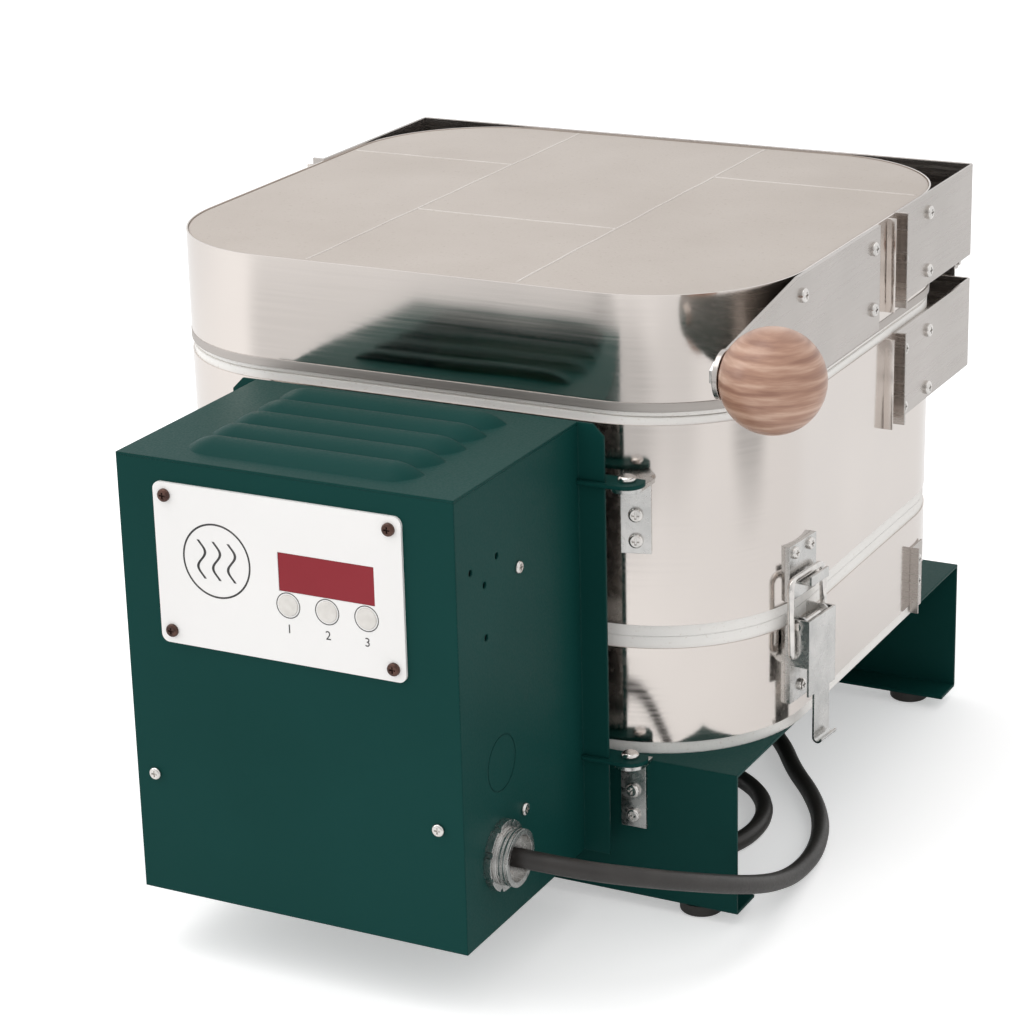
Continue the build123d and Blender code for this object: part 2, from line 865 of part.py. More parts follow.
def hinge_leaf(upper):
    direction = 1 if upper else -1
    edge = hinge_axis_height + direction * hinge_leaf_edge
    far = hinge_axis_height + direction * hinge_leaf_height
    leaf = block(-hinge_half_length, hinge_half_length, yoke_back, yoke_back + hinge_sheet, edge, far)
    for index in range(hinge_knuckles):
        if (index % 2 == 1) != upper:
            continue
        x0, x1 = knuckle_span(index)
        barrel = bar((x0, hinge_axis_y, hinge_axis_height), (1, 0, 0), knuckle_radius, x1 - x0)
        web = block(
            x0, x1, yoke_back, hinge_axis_y - knuckle_radius * 0.6, edge, edge + direction * hinge_web
        )
        leaf += web + barrel
    leaf -= bar(
        (-hinge_half_length - 1, hinge_axis_y, hinge_axis_height), (1, 0, 0), hinge_rod_radius + running_gap,
        2 * hinge_half_length + 2
    )
    return leaf


def hinge_rod():
    start = -hinge_half_length - hinge_rod_end
    rod = bar((start, hinge_axis_y, hinge_axis_height), (1, 0, 0), hinge_rod_radius, 2 * abs(start))
    return rod


# Handle plate on the right of the lid, with the wooden ball on its tongue

def handle_plate():
    z1 = lid_band_top
    corners = [
        (handle_rear_y, handle_bottom),
        (handle_rear_y, z1),
        (handle_bend_y, z1),
        (ball_y + tongue_root, ball_z + handle_tongue_radius - tongue_upper_trim),
        (ball_y + tongue_root, ball_z - handle_tongue_radius + tongue_lower_trim),
        (handle_bend_y, handle_bottom),
    ]
    plate = side_plate(corners, kiln_half_width, handle_plate_thickness)
    plate += bar((kiln_half_width, ball_y, ball_z), (1, 0, 0), handle_tongue_radius, handle_plate_thickness)
    plate -= hole((handle_outer, ball_y, ball_z), (1, 0, 0), ball_bolt_radius + running_gap)
    for point in handle_plate_screw_points():
        plate -= hole(point, (1, 0, 0))
    return plate


# The front screw sits where the band has begun to curve away from the plate
def handle_plate_screw_points():
    top = lid_top - handle_screw_drop
    rear = handle_rear_y - handle_screw_inset
    places = (
        (rear, top),
        (rear, handle_bottom + handle_low_screw_rise),
        (handle_bend_y + handle_front_screw_inset, top),
    )
    return [(handle_outer, y, z) for y, z in places]


def band_gap(y):
    past = max(0.0, arc_y - y)
    return kiln_corner_radius - math.sqrt(kiln_corner_radius**2 - past**2)


def handle_plate_screws():
    reach = handle_plate_thickness + jacket_sheet
    return [
        screw(point, (1, 0, 0), reach + band_gap(point[1] + screw_shank_radius))
        for point in handle_plate_screw_points()
    ]


def handle_ball():
    ball = Pos(ball_x, ball_y, ball_z) * Sphere(ball_radius)
    reach = 2 * ball_radius
    ball -= block(ball_x - reach, handle_outer, ball_y - reach, ball_y + reach, ball_z - reach, ball_z + reach)
    bore = ball_bolt_depth + ball_bore_spare + 1
    ball -= bar((handle_outer - 1, ball_y, ball_z), (1, 0, 0), ball_bolt_radius + running_gap, bore)
    return ball


def handle_bolt():
    shank = bar(
        (kiln_half_width, ball_y, ball_z), (1, 0, 0), ball_bolt_radius, handle_plate_thickness + ball_bolt_depth
    )
    head = extrude(
        Plane(origin=(kiln_half_width, ball_y, ball_z), z_dir=(-1, 0, 0)) * RegularPolygon(ball_bolt_head_radius, 6),
        ball_bolt_head
    )
    return shank + head


# Control box

def box_shell():
    shell = block(box_left, box_right, box_front, box_rear, box_bottom, cover_bottom)
    shell -= block(
        box_left + box_sheet, box_right - box_sheet, box_front + box_sheet, box_rear + 1, box_bottom + box_sheet,
        box_top + 1
    )
    for side, edge in ((-1, box_left), (1, box_right)):
        flange = block(
            edge, edge + side * box_flange, box_rear - box_sheet, box_rear, box_bottom, box_top
        )
        corner = flange.edges().filter_by(Axis.Y).filter_by(
            lambda e: abs(e.center().X - (edge + side * box_flange)) < 0.01 and e.center().Z > box_top - 1
        )
        shell += chamfer(corner, box_flange_cut)
    shell -= block(
        faceplate_left + cut_out_margin, faceplate_right - cut_out_margin, box_front - 1, box_front + box_sheet + 1,
        button_z - cut_out_margin, window_top + cut_out_margin
    )
    for point in faceplate_screw_points():
        shell -= hole(point, (0, -1, 0))
    for point in front_screw_points():
        shell -= hole(point, (0, -1, 0))
    for point in side_screw_points():
        shell -= hole(point, (1, 0, 0))
    for y, z in side_vent_points():
        shell -= bar((box_right + 2, y, z), (-1, 0, 0), vent_radius, 4)
    shell -= bar((box_right + 2, connector_y, connector_z), (-1, 0, 0), connector_radius + running_gap, 4)
    knockout = (box_right - box_sheet / 4, box_front + knockout_ahead, box_bottom + knockout_rise)
    ring = bar(knockout, (1, 0, 0), knockout_radius, 2)
    shell -= ring - bar(knockout, (1, 0, 0), knockout_radius - knockout_groove, 3)
    for leaf_top in (upper_leaf_top, lower_leaf_top):
        z = leaf_top + lug_gap
        shell -= block(
            box_right, box_right + box_flange + 1, box_rear - box_sheet - 1, box_rear + 1, z, z + lug_sheet
        )
    return shell


# Three round vents in a triangle high on the right side, and one lower down
def side_vent_points():
    return [(box_front + back, box_top - down) for back, down in side_vent_places]


def faceplate_screw_points():
    xs = (faceplate_left + faceplate_screw_inset, faceplate_right - faceplate_screw_inset)
    zs = (faceplate_bottom + faceplate_screw_inset, faceplate_top - faceplate_screw_inset)
    return [(x, faceplate_front, z) for x in xs for z in zs]


def front_screw_points():
    z = box_bottom + front_screw_rise
    return [(box_left + front_screw_left_inset, box_front, z), (box_right - front_screw_right_inset, box_front, z)]


def side_screw_points():
    y = box_front + side_screw_behind
    return [(box_right, y, box_top - side_screw_drop), (box_right, y, box_bottom + side_screw_rise)]


# Vented top: a tray with its edges turned down inside the walls and five long louvres open to the rear
def box_top_cover():
    cover = block(box_left, box_right, box_front, box_rear, cover_bottom, box_top)
    inner_left = box_left + box_sheet + cover_gap
    inner_right = box_right - box_sheet - cover_gap
    inner_front = box_front + box_sheet + cover_gap
    lip_bottom = cover_bottom - box_cover_lip
    cover += block(inner_left, inner_left + box_sheet, inner_front, box_rear - 2, lip_bottom, cover_bottom)
    cover += block(inner_right - box_sheet, inner_right, inner_front, box_rear - 2, lip_bottom, cover_bottom)
    for index in range(louvre_count):
        y = box_front + louvre_front_inset + index * louvre_pitch
        outer = louvre_form(y, louvre_rise, louvre_width, 0)
        inner = louvre_form(y, louvre_rise - box_sheet, louvre_width - box_sheet, box_sheet)
        cover += outer
        cover -= inner
    return cover


# One louvre: a long round-ended blister that starts flush at the front and stands open at the rear
def louvre_form(y, rise, width, inset):
    x0 = box_left + louvre_left_inset + inset
    x1 = box_right - louvre_right_inset - inset
    radius = (rise * rise + width * width) / (2 * rise)
    middle = Pos(0, y, box_top + rise - radius) * Rotation(0, 90, 0)
    length = x1 - x0 - 2 * width
    hump = Pos((x0 + x1) / 2, 0, 0) * middle * Cylinder(radius, length)
    hump += Pos(x0 + width, y, box_top + rise - radius) * Sphere(radius)
    hump += Pos(x1 - width, y, box_top + rise - radius) * Sphere(radius)
    base = box_top if inset == 0 else box_top - box_sheet - 1
    keep = block(x0, x1, y - width, y + (1 if inset else 0), base, box_top + rise + 1)
    return hump & keep


def box_back_plate():
    y0 = box_rear
    reach = box_flange - back_plate_side_gap
    low = box_bottom + back_plate_bottom_gap
    plate = block(box_left - reach, box_right + reach, y0, y0 + box_sheet, low, box_top - back_plate_top_gap)
    for height in (lower_groove_height, upper_groove_height):
        z = ring_bottom + height
        plate -= bar((thermocouple_x, y0 - 1, z), (0, 1, 0), grommet_neck, box_sheet + 2)
    for leaf_top in (upper_leaf_top, lower_leaf_top):
        z = leaf_top + lug_gap
        plate -= block(box_right - 2, box_right + box_flange, y0 - 1, y0 + 5, z - 1, z + lug_sheet + 1)
    return plate


def box_grommets():
    grommets = []
    for height in (lower_groove_height, upper_groove_height):
        z = ring_bottom + height
        x = thermocouple_x
        body = bar((x, box_rear + box_sheet, z), (0, 1, 0), grommet_radius, grommet_lip)
        body += bar((x, box_rear, z), (0, 1, 0), grommet_neck - running_gap, box_sheet)
        body += bar((x, box_rear - grommet_lip, z), (0, 1, 0), grommet_radius, grommet_lip)
        grommets.append(body - bar((x, box_rear - grommet_radius, z), (0, 1, 0), grommet_bore, 2 * grommet_radius))
    return grommets


# Hinge lugs welded to the box: flat tongues that sit on the bracket leaves
def box_lug(leaf_top):
    z = leaf_top + lug_gap
    rear = box_pin_y + lug_rear
    tongue = block(box_right, box_pin_x, box_pin_y - lug_radius, rear, z, z + lug_sheet)
    tongue += bar((box_pin_x, box_pin_y, z), (0, 0, 1), lug_radius, lug_sheet)
    tongue -= block(box_right - 1, box_pin_x + 2 * lug_radius, rear, rear + lug_radius, z - 1, z + lug_sheet + 1)
    tongue -= bar((box_pin_x, box_pin_y, z - 1), (0, 0, 1), box_pin_radius + running_gap, lug_sheet + 2)
    return tongue


def box_hinge_pin(leaf_top):
    low = leaf_top - bracket_sheet
    head_z = leaf_top + lug_gap + lug_sheet + lug_gap
    pin = bar((box_pin_x, box_pin_y, low), (0, 0, 1), box_pin_radius, head_z - low)
    foot = bar((box_pin_x, box_pin_y, low - box_pin_foot), (0, 0, 1), box_pin_foot_radius, box_pin_foot)
    head = bar((box_pin_x, box_pin_y, head_z), (0, 0, 1), box_pin_head_radius, box_pin_head)
    head = fillet(head.edges().sort_by(Axis.Z)[-1], box_pin_head * 0.7)
    return pin + foot + head


# Upper bracket lies on the ring jacket's corner, turned to face square out from it

def upper_bracket_turn():
    return math.degrees(math.asin((box_pin_x - bracket_offset - arc_x) / kiln_corner_radius))


def upper_bracket_normal():
    turn = math.radians(upper_bracket_turn())
    return (math.sin(turn), -math.cos(turn), 0)


def upper_bracket_seat():
    nx, ny, _ = upper_bracket_normal()
    return (arc_x + kiln_corner_radius * nx, arc_y + kiln_corner_radius * ny)


def bracket_screw_heights(leaf_top):
    return [leaf_top - bracket_first_screw - index * bracket_screw_pitch for index in range(2)]


def upper_bracket_screws():
    seat_x, seat_y = upper_bracket_seat()
    nx, ny, _ = upper_bracket_normal()
    x = seat_x + bracket_sheet * nx
    y = seat_y + bracket_sheet * ny
    return [(x, y, z) for z in bracket_screw_heights(upper_leaf_top)]


def lower_bracket_screws():
    x = box_pin_x - bracket_offset
    y = -shelf_half_depth - bracket_sheet
    return [(x, y, z) for z in bracket_screw_heights(lower_leaf_top)]


def leaf(leaf_top, back_y):
    low = leaf_top - bracket_sheet
    plate = block(
        box_pin_x - leaf_radius, box_pin_x + leaf_radius, box_pin_y, back_y, low, leaf_top
    )
    plate += bar((box_pin_x, box_pin_y, low), (0, 0, 1), leaf_radius, bracket_sheet)
    plate -= bar((box_pin_x, box_pin_y, low - 1), (0, 0, 1), box_pin_radius + running_gap, bracket_sheet + 2)
    return plate


def box_bracket_upper():
    seat_x, seat_y = upper_bracket_seat()
    turn = upper_bracket_turn()
    local = Pos(seat_x, seat_y, 0) * Rotation(0, 0, turn)
    half = upper_bracket_width / 2
    plate = local * block(-half, half, -bracket_sheet, 1, upper_leaf_top - bracket_height, upper_leaf_top)
    bracket = plate + leaf(upper_leaf_top, seat_y + 0.5)
    bracket -= kiln_outline()
    for point in upper_bracket_screws():
        bracket -= hole(point, upper_bracket_normal())
    return bracket


def box_bracket_lower():
    y = -shelf_half_depth
    x = box_pin_x - bracket_offset
    half = lower_bracket_width / 2
    plate = block(x - half, x + half, y - bracket_sheet, y, lower_leaf_top - bracket_height, lower_leaf_top)
    bracket = plate + leaf(lower_leaf_top, y)
    for point in lower_bracket_screws():
        bracket -= hole(point, (0, -1, 0))
    return bracket


def bracket_screws():
    reach = bracket_sheet + jacket_sheet * 0.9
    upper = [screw(point, upper_bracket_normal(), reach) for point in upper_bracket_screws()]
    lower = [screw(p, (0, -1, 0), bracket_sheet + stand_sheet) for p in lower_bracket_screws()]
    return upper + lower


# Faceplate with its display window and three push buttons

def faceplate():
    width = faceplate_right - faceplate_left
    height = faceplate_top - faceplate_bottom
    middle_x = (faceplate_left + faceplate_right) / 2
    middle_z = (faceplate_bottom + faceplate_top) / 2
    plane = Plane(origin=(middle_x, box_front, middle_z), x_dir=(1, 0, 0), z_dir=(0, -1, 0))
    plate = extrude(plane * RectangleRounded(width, height, faceplate_corner), faceplate_thickness)
    plate -= window_block(0)
    for x in button_xs:
        plate -= hole((x, faceplate_front, button_z), (0, -1, 0), button_radius + running_gap)
    for point in faceplate_screw_points():
        plate -= hole(point, (0, -1, 0))
    return plate


def window_block(shrink):
    return block(
        window_left + shrink, window_right - shrink, box_front - 5, box_front + 5, window_bottom + shrink,
        window_top - shrink
    )


# Red window: a pane that fills the opening, held by a rim behind the faceplate
def display_window():
    front = faceplate_front + window_recess
    pane = window_block(running_gap) & block(window_left, window_right, front, box_front, window_bottom, window_top)
    rim = block(
        window_left - window_rim, window_right + window_rim, box_front, box_front + box_sheet, window_bottom,
        window_top + window_rim
    )
    return pane + rim


def button(x):
    y = box_front + running_gap
    cap = bar((x, y, button_z), (0, -1, 0), button_radius, faceplate_thickness + button_stand_out)
    cap = fillet(cap.edges().sort_by(Axis.Y)[0], button_stand_out * 0.7)
    flange = bar((x, y, button_z), (0, 1, 0), button_radius + button_flange_lip, button_flange)
    stem_length = board_back - switch_height - button_travel - switch_gap
    stem = bar((x, y, button_z), (0, 1, 0), button_stem_radius, stem_length)
    return cap + flange + stem


def circuit_board():
    y = box_front + board_back
    board = block(
        faceplate_left + board_margin, faceplate_right - board_margin, y, y + board_thickness,
        faceplate_bottom + board_margin, faceplate_top - board_margin
    )
    for point in faceplate_screw_points():
        board -= hole((point[0], y, point[2]), (0, -1, 0))
    return board


def button_switches():
    y = box_front + board_back
    front = y - switch_height + switch_button_height
    low = button_z - switch_half
    switches = []
    for x in button_xs:
        body = block(x - switch_half, x + switch_half, front, y, low, button_z + switch_half)
        body += bar((x, front, button_z), (0, -1, 0), switch_button_radius, switch_button_height)
        switches.append(body)
    return switches


# Four-figure display behind the window, with each figure's seven bars standing out a little
def display_module():
    y = box_front + board_back
    front = y - display_depth
    left = window_left + display_inset
    right = window_right - display_inset
    body = block(left, right, front, y, window_bottom + display_inset, window_top - display_inset)
    pitch = (window_right - window_left - 2 * figure_margin) / figure_count
    for index in range(figure_count):
        body += figure_bars(window_left + figure_margin + (index + 0.5) * pitch, front)
    return body


def figure_bars(x, front):
    middle = (window_bottom + window_top) / 2
    half = figure_half_width - figure_bar_end
    tall = figure_bar_step / 2 - figure_bar_end
    bars = []
    for level in (-1, 0, 1):
        z = middle + level * figure_bar_step
        bars.append(figure_bar(x, z, half, figure_bar_half, front))
    for side in (-1, 1):
        for level in (-0.5, 0.5):
            z = middle + level * figure_bar_step
            bars.append(figure_bar(x + side * figure_half_width, z, figure_bar_half, tall, front))
    return bars


def figure_bar(x, z, half_x, half_z, front):
    return block(x - half_x, x + half_x, front - figure_bar_rise, front, z - half_z, z + half_z)


def board_standoffs():
    posts = []
    for x, _, z in faceplate_screw_points():
        start = box_front + box_sheet
        post = bar((x, start, z), (0, 1, 0), standoff_radius, board_back - box_sheet)
        posts.append(post - bar((x, start - 1, z), (0, 1, 0), hole_radius, board_back + 2))
    return posts


def faceplate_screws():
    reach = faceplate_thickness + board_back + board_thickness
    return [small_screw(p, (0, -1, 0), reach) for p in faceplate_screw_points()]


def box_screws():
    reach = box_sheet + box_screw_reach
    front = [small_screw(p, (0, -1, 0), reach) for p in front_screw_points()]
    side = [small_screw(p, (1, 0, 0), reach) for p in side_screw_points()]
    return front + side


# Things mounted inside the box

def relay():
    x0 = thermocouple_x + grommet_radius + relay_gap
    z0 = box_bottom + relay_rise
    z1 = z0 + relay_height / 2
    front = box_rear - relay_depth
    body = block(x0, x0 + relay_width, front, box_rear, z0, z0 + relay_height)
    body = fillet(body.edges().filter_by(Axis.Y), relay_corner)
    for index in range(relay_blades):
        x = x0 + relay_width * (index + 0.5) / relay_blades
        body += block(
            x - relay_blade_half, x + relay_blade_half, front - relay_blade_length, front, z1, z1 + relay_blade_thickness
        )
    return body


def transformer():
    x0 = box_left + transformer_left_inset
    x1 = x0 + transformer_width
    y0 = box_front + transformer_front_inset
    y1 = y0 + transformer_depth
    z0 = box_bottom + box_sheet
    z1 = z0 + transformer_height
    core = block(x0, x1, y0, y1, z0, z1)
    winding = block(
        x0 + winding_side_inset, x1 - winding_side_inset, y0 - winding_bulge, y1 + winding_bulge,
        z0 + winding_end_inset, z1 - winding_end_inset
    )
    return core + winding


def terminal_block():
    x0 = box_right - terminal_block_right_inset
    y0 = box_rear - terminal_block_rear_inset
    z0 = box_bottom + box_sheet
    z1 = z0 + terminal_block_height
    base = block(x0, x0 + terminal_block_width, y0, y0 + terminal_block_depth, z0, z1)
    for index in range(terminal_wells):
        x = x0 + terminal_block_width * (index + 0.5) / terminal_wells
        middle = (x, y0 + terminal_block_depth / 2, z0 + terminal_block_height / 2)
        base -= bar(middle, (0, 0, 1), terminal_well_radius, terminal_block_height)
    return base


# Threaded cable connector through the side wall, locknut outside, saddle clamp inside

def cord_connector():
    inside = box_right - box_sheet
    mouth = box_right + connector_mouth
    sleeve = connector_ring(inside, mouth, connector_radius)
    for index in range(connector_threads):
        x = box_right + locknut_thickness + thread_depth + index * thread_pitch
        groove = connector_ring(x, x + thread_depth, connector_radius + 1)
        sleeve -= groove - connector_ring(x - 1, x + thread_depth + 1, connector_radius - thread_depth)
    collar = connector_ring(inside - connector_collar, inside, connector_radius + connector_collar)
    half = connector_radius - connector_jaw_trim
    jaw_end = inside - connector_collar - connector_jaw
    jaw = block(
        jaw_end, inside - connector_collar, connector_y - half, connector_y + half,
        connector_z - connector_jaw_half, connector_z + connector_jaw_half
    )
    body = sleeve + collar + jaw
    body -= connector_ring(jaw_end - 1, mouth + 1, cord_radius + connector_clearance)
    body -= connector_ring(mouth - connector_throat, mouth + 1, connector_radius - connector_wall)
    return body


# A round along the cord's way through the wall
def connector_ring(x0, x1, radius):
    return bar((x0, connector_y, connector_z), (1, 0, 0), radius, x1 - x0)


def connector_locknut():
    end = box_right + locknut_thickness
    nut = connector_ring(box_right, end, locknut_radius)
    nut -= connector_ring(box_right - 1, end + 1, connector_radius + running_gap)
    for index in range(locknut_notches):
        angle = 2 * math.pi * (index + 0.5) / locknut_notches
        y = connector_y + locknut_radius * math.cos(angle)
        z = connector_z + locknut_radius * math.sin(angle)
        nut -= bar((box_right - 1, y, z), (1, 0, 0), locknut_notch, locknut_thickness + 2)
    return nut


# Draw latch. place() turns the latch's own frame into the kiln's, on either side.

def place(side, shape):
    turn = math.radians(latch_turn)
    x = arc_x + kiln_corner_radius * math.cos(turn)
    y = arc_y - kiln_corner_radius * math.sin(turn)
    moved = Pos(x, y, ring_bottom) * Rotation(0, 0, -latch_turn) * shape
    return moved if side > 0 else mirror(moved, about=Plane.YZ)


def across(n, z, half, radius):
    return bar((n, -half, z), (0, 1, 0), radius, 2 * half)


def latch_base_screws():
    return [(0.0, latch_base_screw)]


def latch_keeper_screws():
    return [(u, keeper_screw_rise) for u in keeper_screw_us]


def latch_hole(u, z):
    return bar((latch_cut, u, z), (-1, 0, 0), hole_radius, 2 * latch_cut)


def latch_holes(side, points):
    return [place(side, latch_hole(u, z)) for u, z in points]


# The kiln's outline, which trims the backs of what is screwed to its curved corners
def kiln_outline():
    return rounded_slab(kiln_half_width, kiln_half_depth, kiln_corner_radius, shelf_top, lid_top)


def latch_base(side):
    base = block(-latch_seat_depth, latch_plate, -latch_base_half, latch_base_half, latch_base_low, latch_base_high)
    for sign in (-1, 1):
        u0 = sign * (latch_base_half - ear_sheet)
        u1 = sign * latch_base_half
        base += block(-ear_seat_depth, lever_pivot_n + ear_round, u0, u1, ear_low, lever_pivot_rise)
        base += block(-ear_seat_depth, lever_pivot_n, u0, u1, ear_low, lever_pivot_rise + ear_crown)
        base += bar((lever_pivot_n, min(u0, u1), lever_pivot_rise), (0, 1, 0), ear_round, ear_sheet)
    base -= across(lever_pivot_n, lever_pivot_rise, latch_cut, lever_pin_radius + running_gap)
    for u, z in latch_base_screws():
        base -= latch_hole(u, z)
    return place(side, base) - kiln_outline()


def latch_pin(side):
    return place(side, across(lever_pivot_n, lever_pivot_rise, lever_half + lever_pin_end, lever_pin_radius))


def latch_lever(side):
    web_outer = lever_web_n + lever_sheet
    top = lever_pivot_rise + lever_crown
    lever = block(lever_web_n, web_outer, -lever_half, lever_half, lever_low, top)
    for sign in (-1, 1):
        inner = sign * (lever_half - lever_sheet)
        cheek = block(lever_cheek_n, web_outer, inner, sign * lever_half, lever_cheek_low, top)
        corners = cheek.edges().filter_by(Axis.Y).filter_by(lambda e: e.center().X < lever_cheek_n + 1)
        lever += fillet(corners, lever_crown - 0.3)
    foot = lever_low - lever_tab_length
    tab = block(lever_web_n, web_outer, -lever_tab_half, lever_tab_half, foot, lever_low)
    middle = web_outer + lever_curl - lever_sheet
    curl = across(middle, foot, lever_tab_half, lever_curl)
    curl -= across(middle, foot, latch_cut, lever_curl - lever_sheet)
    curl &= block(lever_web_n, web_outer + latch_cut, -latch_cut, latch_cut, foot - latch_cut, foot)
    lever += tab + curl
    lever -= across(lever_pivot_n, lever_pivot_rise, latch_cut, lever_pin_radius + running_gap)
    lever -= across(bail_pivot_n, bail_pivot_rise, latch_cut, bail_wire_radius + running_gap)
    return place(side, lever)


# Wire bail: its turned-in ends sit in the lever, its cross bar lies in the keeper's hook
def latch_bail(side):
    end = latch_base_half + bail_end_gap
    leg = bail_leg_u
    path = FilletPolyline(
        (bail_pivot_n, -end, bail_pivot_rise),
        (bail_pivot_n, -leg, bail_pivot_rise),
        (bail_bar_n, -leg, bail_bar_rise),
        (bail_bar_n, leg, bail_bar_rise),
        (bail_pivot_n, leg, bail_pivot_rise),
        (bail_pivot_n, end, bail_pivot_rise),
        radius=[bail_wire_radius * 1.25, bail_bend, bail_bend, bail_wire_radius * 1.25],
    )
    section = Plane(origin=path @ 0, z_dir=path % 0) * Circle(bail_wire_radius)
    return place(side, sweep(section, path))


def latch_keeper(side):
    plate = block(-keeper_seat_depth, keeper_plate, keeper_left, keeper_right, keeper_low, keeper_high)
    under = bail_bar_rise - bail_wire_radius - latch_clearance
    front = hook_lip_n + hook_sheet
    keeper = plate + block(0, front, -hook_half, hook_half, under - hook_sheet, under)
    keeper += block(hook_lip_n, front, -hook_half, hook_half, under - hook_sheet, hook_lip_top)
    for u, z in latch_keeper_screws():
        keeper -= latch_hole(u, z)
    return place(side, keeper) - kiln_outline()


def latch_screws(side):
    base = [small_screw((latch_plate, u, z), (1, 0, 0), latch_plate) for u, z in latch_base_screws()]
    keeper = [small_screw((keeper_plate, u, z), (1, 0, 0), keeper_plate) for u, z in latch_keeper_screws()]
    return [place(side, piece) for piece in base + keeper]


# Power cord: straight runs joined by arcs as large as the runs allow

def corner_radii(points):
    radii = []
    corners = [Vector(*p) for p in points]
    for before, here, after in zip(corners, corners[1:], corners[2:]):
        arriving = here - before
        leaving = after - here
        half_turn = math.radians(arriving.get_angle(leaving)) / 2
        radii.append(0.45 * min(arriving.length, leaving.length) / math.tan(half_turn))
    return radii


def cord_tube(points):
    radii = corner_radii(points)
    path = FilletPolyline(*points, radius=radii)
    section = Plane(origin=path @ 0, z_dir=path % 0) * Circle(cord_radius)
    tube = sweep(section, path)
    expected = math.pi * cord_radius**2 * path.length
    print("cord length", round(path.length, 1), "least radius", round(min(radii), 1))
    print("cord radii", [round(r) for r in radii], "volume ratio", round(tube.volume / expected, 4))
    return tube


def cord_coil():
    low = cord_bed - cord_radius
    height = (coil_turns + 1) * 2 * cord_radius
    ring = bar((coil_x, coil_y, low), (0, 0, 1), coil_radius + cord_radius, height)
    ring -= bar((coil_x, coil_y, low - 1), (0, 0, 1), coil_radius - cord_radius, height + 5)
    print("coil length", round(2 * math.pi * coil_radius * coil_turns, 1))
    return ring


def cord_plug():
    x, y, z = cord_to_plug[-1]
    low = cord_bed - cord_radius
    front = x - plug_length
    body = block(front, x, y - plug_width / 2, y + plug_width / 2, low, low + plug_height)
    body = fillet(body.edges().filter_by(Axis.X), plug_corner)
    middle = low + plug_height / 2
    for side in (-1, 1):
        u = y + side * blade_gap / 2
        half = blade_thickness / 2
        body += block(front - blade_length, front + 1, u - half, u + half, middle, middle + blade_width)
    body += bar((front, y, middle - ground_pin_drop), (-1, 0, 0), ground_pin_radius, blade_length + ground_pin_extra - 1)
    return body


save("stand_frame", stand_frame())
save("rubber_feet", *rubber_feet())
save("floor_bricks", *floor_bricks())
save("floor_jacket", floor_jacket())
save("floor_seam_cleats", *floor_seam_cleats())
save("floor_seam_bolts", *floor_seam_bolts())
save("ring_bricks", *ring_bricks())
save("ring_jacket", ring_jacket())
save("heating_elements", element(lower_groove_height), element(upper_groove_height))
save("terminal_bushes", *terminal_bushes())
save("element_terminals", *element_terminals())
save("thermocouple", thermocouple())
save("thermocouple_block", thermocouple_block())
save("ring_yoke", ring_yoke())
save("ring_yoke_screws", *yoke_screws(lower_yoke_screws))
save("hinge_leaf_lower", hinge_leaf(False))
save("hinge_rod", hinge_rod())
save("box_brackets", box_bracket_upper(), box_bracket_lower())
save("bracket_screws", *bracket_screws())
save("box_hinge_pins", box_hinge_pin(upper_leaf_top), box_hinge_pin(lower_leaf_top))
save("latch_bases", latch_base(1), latch_base(-1))
save("latch_keepers", latch_keeper(1), latch_keeper(-1))
save("latch_screws", *latch_screws(1), *latch_screws(-1))
save("latch_pins", latch_pin(1), latch_pin(-1))
for side, word in ((1, "right"), (-1, "left")):
    save(f"latch_lever_{word}", latch_lever(side))
    save(f"latch_bail_{word}", latch_bail(side))
save("lid_bricks", *lid_bricks())
save("lid_band", lid_band())
save("lid_hem", lid_hem())
save("lid_yoke", lid_yoke())
save("lid_yoke_screws", *yoke_screws(upper_yoke_screws))
save("hinge_leaf_upper", hinge_leaf(True))
save("handle_plate", handle_plate())
save("handle_plate_screws", *handle_plate_screws())
save("handle_ball", handle_ball())
save("handle_bolt", handle_bolt())
save("box_shell", box_shell())
save("box_top_cover", box_top_cover())
save("box_back_plate", box_back_plate())
save("box_grommets", *box_grommets())
save("box_lugs", box_lug(upper_leaf_top), box_lug(lower_leaf_top))
save("box_screws", *box_screws())
save("faceplate", faceplate())
save("faceplate_screws", *faceplate_screws())
save("display_window", display_window())
for word, x in zip(("left", "middle", "right"), button_xs):
    save(f"button_{word}", button(x))
save("circuit_board", circuit_board(), *button_switches(), *board_standoffs())
save("display_module", display_module())
save("relay", relay())
save("transformer", transformer())
save("terminal_block", terminal_block())
save("cord_connector", cord_connector())
save("connector_locknut", connector_locknut())
save("power_cord", cord_tube(cord_out_of_box), cord_tube(cord_to_plug))
save("cord_coil", cord_coil())
save("cord_plug", cord_plug())
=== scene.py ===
import math

import bmesh
import bpy
from mathutils import Matrix, Vector


